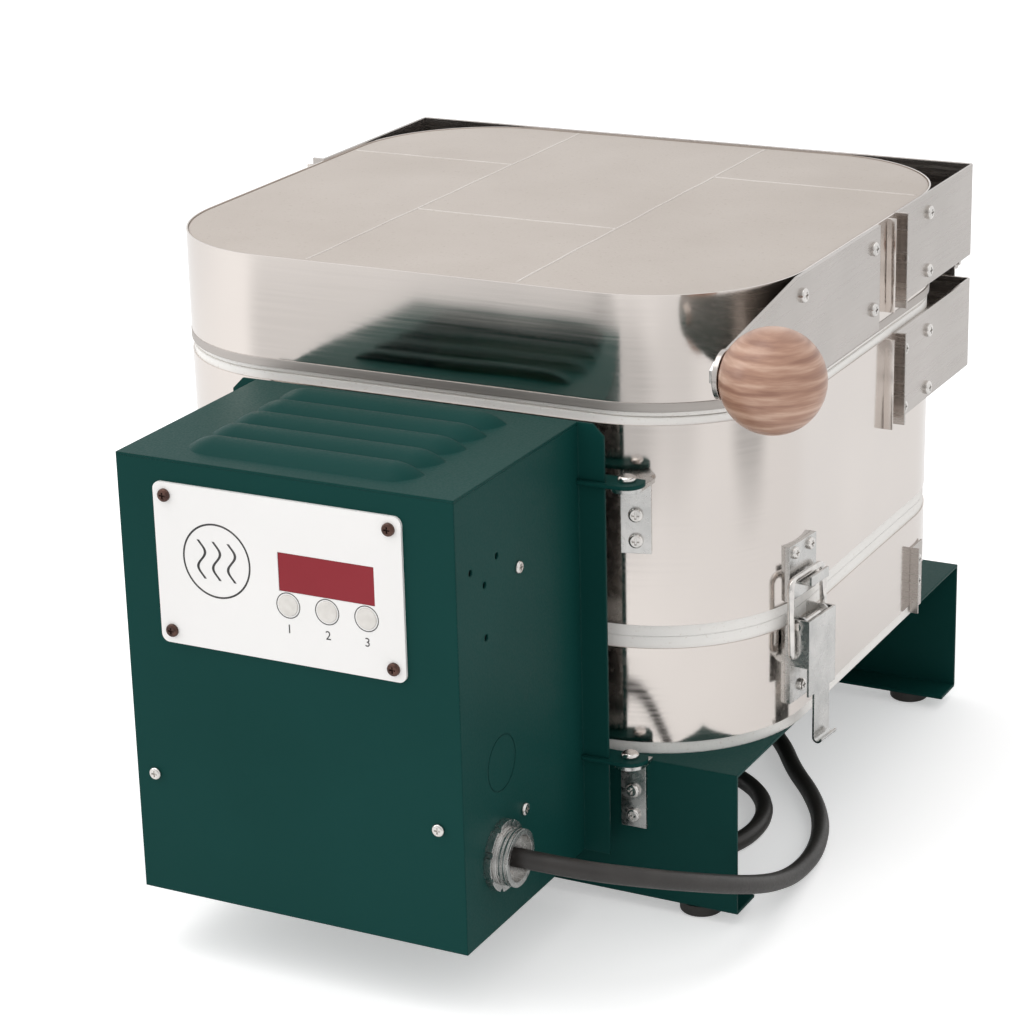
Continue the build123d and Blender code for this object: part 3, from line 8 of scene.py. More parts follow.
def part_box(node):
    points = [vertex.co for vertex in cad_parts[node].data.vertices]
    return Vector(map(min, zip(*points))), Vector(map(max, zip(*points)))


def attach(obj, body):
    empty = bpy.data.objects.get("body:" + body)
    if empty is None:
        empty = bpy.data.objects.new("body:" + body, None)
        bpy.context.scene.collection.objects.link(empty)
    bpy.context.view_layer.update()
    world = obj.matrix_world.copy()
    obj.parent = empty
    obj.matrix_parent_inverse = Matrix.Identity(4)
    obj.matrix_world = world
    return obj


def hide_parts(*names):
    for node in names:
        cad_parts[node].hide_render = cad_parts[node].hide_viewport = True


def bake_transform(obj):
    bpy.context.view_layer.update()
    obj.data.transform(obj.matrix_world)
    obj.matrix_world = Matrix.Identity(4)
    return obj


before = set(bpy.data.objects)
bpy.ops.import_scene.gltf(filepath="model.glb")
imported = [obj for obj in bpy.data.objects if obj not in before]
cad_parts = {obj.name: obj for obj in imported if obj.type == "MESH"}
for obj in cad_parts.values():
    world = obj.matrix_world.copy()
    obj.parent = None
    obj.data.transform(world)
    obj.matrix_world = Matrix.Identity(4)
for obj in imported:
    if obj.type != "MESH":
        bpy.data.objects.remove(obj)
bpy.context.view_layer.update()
print("model loaded")


# picking and finishing, used by every piece below

def emptyHands():
    if bpy.context.object and bpy.context.object.mode != "OBJECT":
        bpy.ops.object.mode_set(mode="OBJECT")
    bpy.ops.object.select_all(action="DESELECT")


def nameNew(name):
    piece = bpy.context.object
    piece.name = name
    piece.data.name = name
    return piece


def applyPlace(piece):
    emptyHands()
    piece.select_set(True)
    bpy.context.view_layer.objects.active = piece
    bpy.ops.object.transform_apply(location=True, rotation=True, scale=True)


def startBlock(name, low, high):
    emptyHands()
    middle = [(a + b) / 2 for a, b in zip(low, high)]
    bpy.ops.mesh.primitive_cube_add(size=1, location=middle)
    piece = nameNew(name)
    piece.scale = [b - a for a, b in zip(low, high)]
    applyPlace(piece)
    return piece


# picks vertices, edges or faces of the piece that pass the test, and leaves it in edit mode
def pick(piece, kind, test):
    bpy.context.view_layer.objects.active = piece
    piece.select_set(True)
    if piece.mode != "EDIT":
        bpy.ops.object.mode_set(mode="EDIT")
    bpy.ops.mesh.select_mode(type=kind)
    bpy.ops.mesh.select_all(action="DESELECT")
    cage = bmesh.from_edit_mesh(piece.data)
    parts = {"VERT": cage.verts, "EDGE": cage.edges, "FACE": cage.faces}[kind]
    cage.normal_update()
    for part in parts:
        if test(part):
            part.select_set(True)
    bmesh.update_edit_mesh(piece.data)


def edgeRun(edge):
    return edge.verts[1].co - edge.verts[0].co


def modify(piece, kind, **settings):
    emptyHands()
    piece.select_set(True)
    bpy.context.view_layer.objects.active = piece
    modifier = piece.modifiers.new(kind.lower(), kind)
    for key, value in settings.items():
        setattr(modifier, key, value)
    bpy.ops.object.modifier_apply(modifier=modifier.name)


def smooth(piece, degrees=35):
    emptyHands()
    piece.select_set(True)
    bpy.context.view_layer.objects.active = piece
    bpy.ops.object.shade_smooth_by_angle(angle=math.radians(degrees))


def joinPieces(name, pieces):
    if len(pieces) == 1:
        return pieces[0]
    emptyHands()
    for piece in pieces:
        piece.select_set(True)
    bpy.context.view_layer.objects.active = pieces[0]
    bpy.ops.object.join()
    return nameNew(name)


def hand(piece, body, slot, finish, *nodes):
    emptyHands()
    piece.data.materials.clear()
    piece.data.materials.append(finish)
    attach(piece, body)
    if nodes:
        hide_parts(*nodes)


# finishes

def addNode(tree, kind, **inputs):
    node = tree.nodes.new(kind)
    for key, value in inputs.items():
        if key in node.inputs:
            node.inputs[key].default_value = value
        else:
            setattr(node, key, value)
    return node


def newFinish(name):
    finish = bpy.data.materials.new(name)
    finish.use_nodes = True
    tree = finish.node_tree
    tree.nodes.clear()
    shader = addNode(tree, "ShaderNodeBsdfPrincipled")
    output = addNode(tree, "ShaderNodeOutputMaterial")
    tree.links.new(shader.outputs[0], output.inputs[0])
    return finish, tree, shader


def objectNoise(tree, scale, stretch=(1, 1, 1), detail=3.0, turn=(0, 0, 0), distortion=0.0):
    coords = addNode(tree, "ShaderNodeTexCoord")
    mapping = addNode(tree, "ShaderNodeMapping", Scale=stretch, Rotation=turn)
    noise = addNode(tree, "ShaderNodeTexNoise", Scale=scale, Detail=detail, Distortion=distortion)
    tree.links.new(coords.outputs["Object"], mapping.inputs["Vector"])
    tree.links.new(mapping.outputs[0], noise.inputs["Vector"])
    return noise.outputs["Fac"]


def rampColours(tree, value, stops):
    ramp = addNode(tree, "ShaderNodeValToRGB")
    tree.links.new(value, ramp.inputs[0])
    elements = ramp.color_ramp.elements
    while len(elements) < len(stops):
        elements.new(0.5)
    for element, (place, colour) in zip(elements, stops):
        element.position = place
        element.color = (*colour, 1)
    return ramp.outputs[0]


def spread(tree, value, low, high, fromLow=0.3, fromHigh=0.7):
    node = addNode(tree, "ShaderNodeMapRange")
    for index, number in enumerate((fromLow, fromHigh, low, high), 1):
        node.inputs[index].default_value = number
    tree.links.new(value, node.inputs[0])
    return node.outputs[0]


def bump(tree, shader, height, distance, strength=1.0, edge=0.0):
    node = addNode(tree, "ShaderNodeBump", Distance=distance, Strength=strength)
    tree.links.new(height, node.inputs["Height"])
    if edge:
        rounding = addNode(tree, "ShaderNodeBevel", Radius=edge, samples=4)
        tree.links.new(rounding.outputs[0], node.inputs["Normal"])
    tree.links.new(node.outputs[0], shader.inputs["Normal"])


def multiplyColours(tree, one, other):
    mix = addNode(tree, "ShaderNodeMix", data_type="RGBA", blend_type="MULTIPLY")
    tree.links.new(one, mix.inputs[6])
    tree.links.new(other, mix.inputs[7])
    return mix


# one entry per record slot: colours, roughness, size and depth of the surface's grain, rounding of its edges
finishSettings = {
    "polished_steel": dict(
        light=(0.73, 0.675, 0.635), dark=(0.69, 0.64, 0.605), patch=7, rough=(0.09, 0.16), metal=1.0,
        grain=60, stretch=(0.12, 0.12, 9), height=0.000004, edge=0.0),
    "satin_steel": dict(
        light=(0.52, 0.485, 0.46), dark=(0.47, 0.44, 0.415), patch=14, rough=(0.2, 0.3), metal=1.0,
        grain=90, stretch=(0.2, 0.2, 7), height=0.000005, edge=0.0006),
    "green_paint": dict(
        light=(0.0060, 0.053, 0.047), dark=(0.0050, 0.048, 0.042), patch=9, rough=(0.36, 0.48), metal=0.0,
        grain=900, stretch=(1, 1, 1), height=0.00004, edge=0.0012, specular=0.07),
    "zinc_plate": dict(
        light=(0.66, 0.65, 0.635), dark=(0.52, 0.52, 0.51), patch=60, rough=(0.18, 0.32), metal=1.0,
        grain=260, stretch=(1, 1, 1), height=0.000004, edge=0.0004),
    "bright_screw": dict(
        light=(0.78, 0.75, 0.72), dark=(0.64, 0.62, 0.60), patch=200, rough=(0.1, 0.2), metal=1.0,
        grain=500, stretch=(1, 1, 1), height=0.000002, edge=0.0003),
    "dark_screw": dict(
        light=(0.12, 0.06, 0.045), dark=(0.05, 0.025, 0.02), patch=300, rough=(0.25, 0.4), metal=0.6,
        grain=500, stretch=(1, 1, 1), height=0.00001, edge=0.0003),
    "black_rubber": dict(
        light=(0.035, 0.031, 0.028), dark=(0.024, 0.021, 0.019), patch=40, rough=(0.38, 0.5), metal=0.0,
        grain=700, stretch=(1, 1, 1), height=0.00004, edge=0.0005),
    "element_wire": dict(
        light=(0.30, 0.26, 0.22), dark=(0.14, 0.12, 0.11), patch=50, rough=(0.5, 0.7), metal=0.7,
        grain=300, stretch=(1, 1, 1), height=0.0001, edge=0.0),
    "porcelain": dict(
        light=(0.82, 0.80, 0.75), dark=(0.74, 0.71, 0.65), patch=90, rough=(0.15, 0.3), metal=0.0,
        grain=300, stretch=(1, 1, 1), height=0.00002, edge=0.0006),
    "brass_terminal": dict(
        light=(0.72, 0.53, 0.25), dark=(0.55, 0.38, 0.17), patch=150, rough=(0.22, 0.36), metal=1.0,
        grain=400, stretch=(1, 1, 1), height=0.00002, edge=0.0004),
    "white_plate": dict(
        light=(0.95, 0.935, 0.92), dark=(0.92, 0.905, 0.89), patch=12, rough=(0.3, 0.42), metal=0.0,
        grain=500, stretch=(1, 1, 1), height=0.00001, edge=0.0004),
    "button_grey": dict(
        light=(0.80, 0.77, 0.73), dark=(0.72, 0.69, 0.65), patch=200, rough=(0.35, 0.5), metal=0.0,
        grain=600, stretch=(1, 1, 1), height=0.00001, edge=0.0004),
    "red_window": dict(
        light=(0.31, 0.024, 0.036), dark=(0.27, 0.02, 0.03), patch=14, rough=(0.1, 0.16), metal=0.0,
        grain=300, stretch=(1, 1, 1), height=0.000004, edge=0.0003, specular=0.25),
    "board_green": dict(
        light=(0.03, 0.17, 0.07), dark=(0.02, 0.11, 0.05), patch=120, rough=(0.35, 0.5), metal=0.0,
        grain=500, stretch=(1, 1, 1), height=0.00002, edge=0.0),
    "black_plastic": dict(
        light=(0.035, 0.034, 0.034), dark=(0.022, 0.022, 0.022), patch=60, rough=(0.35, 0.5), metal=0.0,
        grain=800, stretch=(1, 1, 1), height=0.00003, edge=0.0004),
    "transformer_steel": dict(
        light=(0.15, 0.13, 0.12), dark=(0.09, 0.08, 0.075), patch=80, rough=(0.35, 0.5), metal=0.4,
        grain=40, stretch=(1, 1, 30), height=0.0001, edge=0.0005),
}


def plainFinish(name, settings):
    finish, tree, shader = newFinish(name)
    patches = objectNoise(tree, settings["patch"])
    grain = objectNoise(tree, settings["grain"], settings["stretch"], 2.0)
    colour = rampColours(tree, patches, [(0.35, settings["dark"]), (0.65, settings["light"])])
    tree.links.new(colour, shader.inputs["Base Color"])
    tree.links.new(spread(tree, grain, *settings["rough"]), shader.inputs["Roughness"])
    shader.inputs["Metallic"].default_value = settings["metal"]
    shader.inputs["Specular IOR Level"].default_value = settings.get("specular", 0.5)
    bump(tree, shader, grain, settings["height"], edge=settings["edge"])
    return finish


brickSettings = {
    "cloudScale": 14, "speckScale": 520, "speckShare": 0.6, "rough": 0.92, "specular": 0.2,
    "pinDepth": 0.00025, "pinStrength": 0.7, "edge": 0.0012,
}


# soft firebrick: pale coat with pin holes and speckle
def brickFinish(name, light, dark, fleck):
    finish, tree, shader = newFinish(name)
    cloud = objectNoise(tree, brickSettings["cloudScale"], detail=6.0)
    speck = objectNoise(tree, brickSettings["speckScale"], detail=2.0)
    colour = rampColours(tree, cloud, [(0.3, dark), (0.7, light)])
    spots = rampColours(tree, speck, [(0.28, fleck), (0.36, (1, 1, 1))])
    mix = multiplyColours(tree, colour, spots)
    mix.inputs[0].default_value = brickSettings["speckShare"]
    tree.links.new(mix.outputs[2], shader.inputs["Base Color"])
    shader.inputs["Roughness"].default_value = brickSettings["rough"]
    shader.inputs["Specular IOR Level"].default_value = brickSettings["specular"]
    bump(tree, shader, speck, brickSettings["pinDepth"], brickSettings["pinStrength"], brickSettings["edge"])
    return finish


woodSettings = {
    "pale": (0.60, 0.39, 0.29), "middle": (0.43, 0.24, 0.165), "dark": (0.30, 0.15, 0.10),
    "ringScale": 46, "ringTilt": (0.12, 0.1, 0.0), "ringStretch": (0.25, 0.25, 1), "ringWander": 3.2,
    "ringShare": 0.4, "streakScale": 55, "streakStretch": (1.2, 0.6, 9), "streakShare": 0.6,
    "streakDepth": 0.00008, "rough": 0.42, "varnish": 0.25, "varnishRough": 0.2,
}


# turned hardwood with level grain lines, under a satin varnish
def woodFinish(name):
    finish, tree, shader = newFinish(name)
    coords = addNode(tree, "ShaderNodeTexCoord")
    tilt = addNode(
        tree, "ShaderNodeMapping", Rotation=woodSettings["ringTilt"], Scale=woodSettings["ringStretch"])
    rings = addNode(
        tree, "ShaderNodeTexWave", Scale=woodSettings["ringScale"], Distortion=woodSettings["ringWander"],
        Detail=3.0)
    rings.bands_direction = "Z"
    rings.inputs["Detail Scale"].default_value = 1.4
    tree.links.new(coords.outputs["Object"], tilt.inputs["Vector"])
    tree.links.new(tilt.outputs[0], rings.inputs["Vector"])
    streaks = objectNoise(tree, woodSettings["streakScale"], woodSettings["streakStretch"], 4.0)
    ringPart = addNode(tree, "ShaderNodeMath", operation="MULTIPLY")
    ringPart.inputs[1].default_value = woodSettings["ringShare"]
    grain = addNode(tree, "ShaderNodeMath", operation="ADD")
    tree.links.new(rings.outputs["Fac"], ringPart.inputs[0])
    tree.links.new(ringPart.outputs[0], grain.inputs[0])
    tree.links.new(spread(tree, streaks, 0.0, woodSettings["streakShare"]), grain.inputs[1])
    stops = [(0.1, woodSettings["dark"]), (0.5, woodSettings["middle"]), (0.9, woodSettings["pale"])]
    tree.links.new(rampColours(tree, grain.outputs[0], stops), shader.inputs["Base Color"])
    shader.inputs["Roughness"].default_value = woodSettings["rough"]
    shader.inputs["Coat Weight"].default_value = woodSettings["varnish"]
    shader.inputs["Coat Roughness"].default_value = woodSettings["varnishRough"]
    bump(tree, shader, streaks, woodSettings["streakDepth"])
    return finish


finishes = {name: plainFinish(name, settings) for name, settings in finishSettings.items()}
finishes["firebrick"] = brickFinish("firebrick", (0.95, 0.93, 0.90), (0.91, 0.885, 0.85), (0.84, 0.81, 0.78))
finishes["turned_wood"] = woodFinish("turned_wood")
lidCoat = brickFinish("lidCoat", (0.545, 0.495, 0.455), (0.505, 0.455, 0.415), (0.84, 0.82, 0.8))
jointCoat = brickFinish("jointCoat", (0.74, 0.70, 0.66), (0.66, 0.61, 0.57), (0.85, 0.83, 0.8))
hemSteel = plainFinish("hemSteel", dict(finishSettings["satin_steel"], rough=(0.5, 0.6)))
printInk = plainFinish(
    "printInk", dict(finishSettings["black_plastic"], light=(0.05, 0.045, 0.045), edge=0.0))

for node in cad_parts.values():
    for slot in node.material_slots:
        slotName = slot.material.name.split(".")[0]
        if slotName in finishes and slot.material != finishes[slotName]:
            slot.material = finishes[slotName]
print("finishes made")

# power cord: out of the connector, down to the floor, into a coil under the shelf, and out to the plug

cordSettings = {
    "radius": 0.00475, "bed": 0.00485,
    "coilCentre": (0.010, 0.060), "coilRadius": 0.0574, "looseness": 0.0011,
    "loosePitch": 2.3, "looseStart": 0.6, "turns": 2.53, "firstAngle": 70.0, "pointsPerTurn": 14,
    "stepsAlong": 8, "stepsRound": 5,
    "ridesBoxTo": (0.104, -0.262, 0.0715), "ridesFloorFrom": (0.104, -0.132, 0.0715),
}
bed = cordSettings["bed"]
cordOutOfBox = [
    (0.076, -0.2673, 0.0715), (0.107, -0.2673, 0.0715), (0.135, -0.2595, 0.0675), (0.157, -0.238, 0.0585),
    (0.171, -0.209, 0.046), (0.179, -0.177, 0.032), (0.181, -0.144, 0.0185), (0.180, -0.111, 0.0085),
    (0.177, -0.076, bed), (0.167, -0.042, bed), (0.149, -0.011, bed), (0.127, 0.016, bed),
    (0.109, 0.045, bed), (0.085, 0.072, bed), (0.058, 0.096, bed), (0.0292, 0.1126, bed),
]
cordToPlug = [
    (0.0003, 0.0049, 0.0289), (0.033, 0.0, 0.021), (0.064, 0.0, 0.0115), (0.095, -0.002, 0.0056),
    (0.121, -0.018, bed), (0.137, -0.046, bed), (0.138, -0.079, bed), (0.122, -0.107, bed),
    (0.093, -0.121, bed), (0.060, -0.121, bed), (0.028, -0.117, bed),
]


def coilPoints():
    points = []
    step = 360.0 / cordSettings["pointsPerTurn"]
    for index in range(1, int(cordSettings["turns"] * cordSettings["pointsPerTurn"])):
        turn = index * step / 360
        angle = math.radians(cordSettings["firstAngle"] + index * step)
        swing = math.sin(cordSettings["loosePitch"] * turn + cordSettings["looseStart"])
        reach = cordSettings["coilRadius"] + cordSettings["looseness"] * swing
        x = cordSettings["coilCentre"][0] + reach * math.cos(angle)
        y = cordSettings["coilCentre"][1] + reach * math.sin(angle)
        points.append((x, y, bed + 2 * cordSettings["radius"] * turn))
    return points


def layCord():
    emptyHands()
    line = bpy.data.curves.new("powerCord", "CURVE")
    line.dimensions = "3D"
    line.resolution_u = cordSettings["stepsAlong"]
    spline = line.splines.new("NURBS")
    route = cordOutOfBox + coilPoints() + cordToPlug
    spline.points.add(len(route) - 1)
    for point, place in zip(spline.points, route):
        point.co = (*place, 1)
    spline.order_u = 3
    spline.use_endpoint_u = True
    cord = bpy.data.objects.new("powerCord", line)
    bpy.context.collection.objects.link(cord)
    thread = bpy.data.meshes.new_from_object(cord)
    line.bevel_depth = cordSettings["radius"]
    line.bevel_resolution = cordSettings["stepsRound"]
    line.use_fill_caps = True
    cord.select_set(True)
    bpy.context.view_layer.objects.active = cord
    bpy.ops.object.convert(target="MESH")
    cord = nameNew("powerCord")
    smooth(cord, 50)
    cord.data.materials.clear()
    cord.data.materials.append(finishes["black_rubber"])
    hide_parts("power_cord", "cord_coil")
    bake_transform(cord)


layCord()


# bands of bent sheet round the bricks

bandSettings = {
    "halfWidth": 0.1715, "halfDepth": 0.159, "corner": 0.078, "cornerSteps": 26, "sheet": 0.0008,
    "flatRun": 0.17, "columnWidth": 0.0045, "rowHeight": 0.0055, "waveSize": 0.075, "waveHeight": 0.0007,
    "lipReach": 0.1765, "lipY": 0.0295, "lipSunk": 0.0002, "lipEdge": 0.0003,
    "hemSheet": 0.0004, "hemProud": 0.0004,
}


def roundedRing(name, halfWidth, halfDepth, corner, bottom, top):
    ring = startBlock(name, (-halfWidth, -halfDepth, bottom), (halfWidth, halfDepth, top))
    pick(ring, "EDGE", lambda edge: abs(edgeRun(edge).z) > 0.001)
    bpy.ops.mesh.bevel(offset=corner, segments=bandSettings["cornerSteps"], affect="EDGES")
    return ring


def sheetBand(name, node, body, proud=0.0, sheet=bandSettings["sheet"], wavy=True, lipBottom=None,
              finish=finishes["polished_steel"]):
    low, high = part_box(node)
    bottom, top = low[2], high[2]
    band = roundedRing(
        name, bandSettings["halfWidth"] + proud, bandSettings["halfDepth"] + proud,
        bandSettings["corner"] + proud, bottom, top)
    pick(band, "FACE", lambda face: abs(face.normal.z) > 0.5)
    bpy.ops.mesh.delete(type="ONLY_FACE")
    pick(band, "EDGE", lambda edge: abs(edgeRun(edge).z) < 1e-6 and edgeRun(edge).length > 0.05)
    bpy.ops.mesh.subdivide(number_cuts=round(bandSettings["flatRun"] / bandSettings["columnWidth"]))
    pick(band, "EDGE", lambda edge: abs(edgeRun(edge).z) > 0.001)
    bpy.ops.mesh.subdivide(number_cuts=max(1, round((top - bottom) / bandSettings["rowHeight"])))
    if wavy:
        waves = bpy.data.textures.new(name, "CLOUDS")
        waves.noise_scale = bandSettings["waveSize"]
        waves.noise_depth = 1
        modify(band, "DISPLACE", texture=waves, strength=bandSettings["waveHeight"], mid_level=0.5)
    modify(band, "SOLIDIFY", thickness=sheet, offset=-1.0)
    parts = [band]
    if lipBottom is not None:
        for side in (-1, 1):
            inner = side * (bandSettings["halfWidth"] - bandSettings["lipSunk"])
            outer = side * bandSettings["lipReach"]
            lip = startBlock(
                name + "Lip", (min(inner, outer), bandSettings["lipY"] - sheet, lipBottom),
                (max(inner, outer), bandSettings["lipY"], top))
            modify(lip, "BEVEL", width=bandSettings["lipEdge"], segments=2)
            parts.append(lip)
    band = joinPieces(name, parts)
    smooth(band)
    hand(band, body, "polished_steel", finish, node)
    return band


sheetBand("floorJacket", "floor_jacket", "root")
sheetBand("ringJacket", "ring_jacket", "root", lipBottom=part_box("ring_yoke")[0][2])
sheetBand("lidBand", "lid_band", "lid", lipBottom=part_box("lid_yoke")[0][2])
sheetBand(
    "lidHem", "lid_hem", "lid", proud=bandSettings["hemProud"], sheet=bandSettings["hemSheet"], wavy=False,
    finish=hemSteel)
print("bands bent")


# lid slab: bricks under one coat, with a low ridge over each joint

lidSettings = {
    "halfWidth": 0.1707, "halfDepth": 0.1582, "corner": 0.0772, "edge": 0.0014,
    "columnJoints": (-0.0667, 0.0506), "crossJoints": (0.0694, -0.0421, 0.0819),
    "ridgeWidth": 0.0013, "ridgeHeight": 0.0003, "ridgeSunk": 0.001, "ridgeEdge": 0.00028,
    "ridgeInset": 0.003, "bow": 0.00036, "stepLength": 0.009,
}


def lidRidge(start, end, top, seed):
    along = Vector(end) - Vector(start)
    half = lidSettings["ridgeWidth"] / 2
    lengthwise = abs(along.y) > abs(along.x)
    wide = (half, 0) if lengthwise else (0, half)
    low = (start[0] - wide[0], start[1] - wide[1], top - lidSettings["ridgeSunk"])
    high = (end[0] + wide[0], end[1] + wide[1], top + lidSettings["ridgeHeight"])
    ridge = startBlock("lidRidge", low, high)
    pick(ridge, "EDGE", lambda edge: edgeRun(edge).length > along.length * 0.9)
    bpy.ops.mesh.subdivide(number_cuts=int(along.length / lidSettings["stepLength"]))
    bpy.ops.object.mode_set(mode="OBJECT")
    for vertex in ridge.data.vertices:  # a hand-laid joint wanders a little
        run = vertex.co.y if lengthwise else vertex.co.x
        wander = lidSettings["bow"] * math.sin(run * 41 + seed) * math.sin(run * 97 + 2 * seed)
        if lengthwise:
            vertex.co.x += wander
        else:
            vertex.co.y += wander
    modify(ridge, "BEVEL", width=lidSettings["ridgeEdge"], segments=2, limit_method="ANGLE")
    return ridge


def makeLidSlab():
    low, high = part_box("lid_bricks")
    slab = roundedRing(
        "lidSlab", lidSettings["halfWidth"], lidSettings["halfDepth"], lidSettings["corner"], low[2], high[2])
    pick(slab, "EDGE", lambda edge: abs(edgeRun(edge).z) < 1e-6)
    bpy.ops.mesh.bevel(offset=lidSettings["edge"], segments=3, affect="EDGES")
    bpy.ops.object.mode_set(mode="OBJECT")
    smooth(slab, 40)
    hand(slab, "lid", "firebrick", lidCoat, "lid_bricks")
    slab.data.materials.append(finishes["firebrick"])  # the sides are bare brick
    for face in slab.data.polygons:
        face.material_index = 0 if face.normal.z > 0.3 else 1
    left, right = lidSettings["columnJoints"]
    crosses = lidSettings["crossJoints"]
    reachX = lidSettings["halfWidth"] - lidSettings["ridgeInset"]
    reachY = lidSettings["halfDepth"] - lidSettings["ridgeInset"]
    top = high[2]
    ridges = [
        lidRidge((left, -reachY, 0), (left, reachY, 0), top, 1.0),
        lidRidge((right, -reachY, 0), (right, reachY, 0), top, 2.0),
        lidRidge((-reachX, crosses[0], 0), (left, crosses[0], 0), top, 3.0),
        lidRidge((left, crosses[1], 0), (right, crosses[1], 0), top, 4.0),
        lidRidge((right, crosses[2], 0), (reachX, crosses[2], 0), top, 5.0),
    ]
    joints = joinPieces("lidJoints", ridges)
    smooth(joints, 60)
    hand(joints, "lid", "firebrick", jointCoat)


makeLidSlab()
print("lid slab coated")


# wooden ball on the handle plate

ballSettings = {"segments": 72, "rings": 48, "edge": 0.0012}


def makeBall():
    low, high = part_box("handle_ball")
    radius = (high[1] - low[1]) / 2
    centre = (high[0] - radius, (low[1] + high[1]) / 2, (low[2] + high[2]) / 2)
    emptyHands()
    bpy.ops.mesh.primitive_uv_sphere_add(
        segments=ballSettings["segments"], ring_count=ballSettings["rings"], radius=radius, location=centre)
    ball = nameNew("handleBall")
    applyPlace(ball)
    pick(ball, "FACE", lambda face: True)
    bpy.ops.mesh.bisect(plane_co=(low[0], 0, 0), plane_no=(1, 0, 0), use_fill=True, clear_inner=True)
    pick(ball, "EDGE", lambda edge: all(abs(vertex.co.x - low[0]) < 1e-5 for vertex in edge.verts))
    bpy.ops.mesh.bevel(offset=ballSettings["edge"], segments=3, affect="EDGES")
    smooth(ball, 60)
    hand(ball, "lid", "turned_wood", finishes["turned_wood"], "handle_ball")


makeBall()
print("ball turned")


# print on the faceplate: a ring with three heat lines, and numbers and rings at the buttons

plateSettings = {
    "emblemCentre": (-0.0326, 0.2126), "emblemRadius": 0.0185, "lineWidth": 0.0009, "raise": 0.00006,
    "inkDepth": 0.00005, "waveWidth": 0.00135, "waveSpan": 0.019, "waveSwing": 0.0021, "waveTurns": 1.25,
    "wavePitch": 0.0082, "waveSteps": 28, "ringSteps": 72,
    "numberSize": 0.0062, "numberDrop": 0.0118, "ringRadius": 0.0064, "ringWidth": 0.00045,
}


def flatRing(name, x, z, radius, width, front):
    emptyHands()
    bpy.ops.mesh.primitive_circle_add(
        vertices=plateSettings["ringSteps"], radius=radius, fill_type="NGON", location=(x, front, z),
        rotation=(math.pi / 2, 0, 0))
    ring = nameNew(name)
    applyPlace(ring)
    pick(ring, "FACE", lambda face: True)
    bpy.ops.mesh.inset(thickness=width)
    pick(ring, "FACE", lambda face: len(face.verts) > 4)
    bpy.ops.mesh.delete(type="FACE")
    bpy.ops.object.mode_set(mode="OBJECT")
    return ring


def heatLine(x, z, front):
    span, swing = plateSettings["waveSpan"], plateSettings["waveSwing"]
    emptyHands()
    bpy.ops.mesh.primitive_grid_add(
        x_subdivisions=1, y_subdivisions=plateSettings["waveSteps"], size=1, location=(x, front, z),
        rotation=(math.pi / 2, 0, 0))
    line = nameNew("heatLine")
    line.scale = (plateSettings["waveWidth"], span, 1)
    applyPlace(line)
    for vertex in line.data.vertices:
        part = (vertex.co.z - z) / span
        vertex.co.x += swing * math.sin(part * 2 * math.pi * plateSettings["waveTurns"])
    return line


def plateNumber(text, x, z, front):
    emptyHands()
    bpy.ops.object.text_add(location=(x, front, z), rotation=(math.pi / 2, 0, 0))
    number = bpy.context.object
    number.data.body = text
    number.data.size = plateSettings["numberSize"]
    number.data.align_x = "CENTER"
    number.data.align_y = "CENTER"
    bpy.ops.object.convert(target="MESH")
    number = nameNew("plateNumber" + text)
    applyPlace(number)
    return number


def printPlate():
    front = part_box("faceplate")[0][1] - plateSettings["raise"]
    x, z = plateSettings["emblemCentre"]
    marks = [flatRing("emblemRing", x, z, plateSettings["emblemRadius"], plateSettings["lineWidth"], front)]
    for step in (-1, 0, 1):
        marks.append(heatLine(x + step * plateSettings["wavePitch"], z, front))
    for text, node in zip("123", ("button_left", "button_middle", "button_right")):
        low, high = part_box(node)
        buttonX, buttonZ = (low[0] + high[0]) / 2, (low[2] + high[2]) / 2
        marks.append(flatRing(
            "buttonRing", buttonX, buttonZ, plateSettings["ringRadius"], plateSettings["ringWidth"], front))
        marks.append(plateNumber(text, buttonX, buttonZ - plateSettings["numberDrop"], front))
    marks = joinPieces("plateMarks", marks)
    modify(marks, "SOLIDIFY", thickness=plateSettings["inkDepth"], offset=-1.0)
    hand(marks, "control_box", "white_plate", printInk)


printPlate()
print("faceplate printed")


# floor, light and camera

# each painted shade patch, seen only in reflections: place on the floor, how far its shade reaches, and how
# dark it is
stageSettings = {
    "floorSize": 14, "floorDrop": 0.0002, "floorLight": (0.92, 0.92, 0.92), "floorDark": (0.90, 0.90, 0.90),
    "floorGlow": 0.4, "mirroredGlow": 0.1,
    "paintedShadePatches": [
        (-0.50, -1.04, 0.45, 0.32), (-0.20, -1.15, 0.28, 0.60), (0.12, -1.0, 0.40, 0.45),
        (0.62, -0.9, 0.4, 0.2), (0.98, -0.10, 0.30, 0.45),
    ],
    "shadePatchCore": 0.35, "roomStrength": 0.85, "shade": 0.36, "shadeToward": (0.35, -0.92, -0.05),
    "shadeFrom": 0.55, "shadeTo": 0.98,
}


def mathStep(tree, operation, one, other):
    node = addNode(tree, "ShaderNodeMath", operation=operation)
    for socket, value in zip(node.inputs, (one, other)):
        if isinstance(value, (int, float)):
            socket.default_value = value
        else:
            tree.links.new(value, socket)
    return node.outputs[0]


# painted shade in reflections: dark patches in the floor's colour outside the view, for glossy rays only, as
# if dark cards lay there
def paintedMirrorShade(tree):
    coords = addNode(tree, "ShaderNodeTexCoord")
    clear = 1.0
    for x, y, reach, depth in stageSettings["paintedShadePatches"]:
        away = addNode(tree, "ShaderNodeVectorMath", operation="DISTANCE")
        away.inputs[1].default_value = (x, y, 0)
        tree.links.new(coords.outputs["Object"], away.inputs[0])
        patchShade = spread(tree, away.outputs["Value"], 1.0 - depth, 1.0, reach * stageSettings["shadePatchCore"], reach)
        patchShade.node.interpolation_type = "SMOOTHSTEP"
        clear = mathStep(tree, "MULTIPLY", clear, patchShade)
    return clear


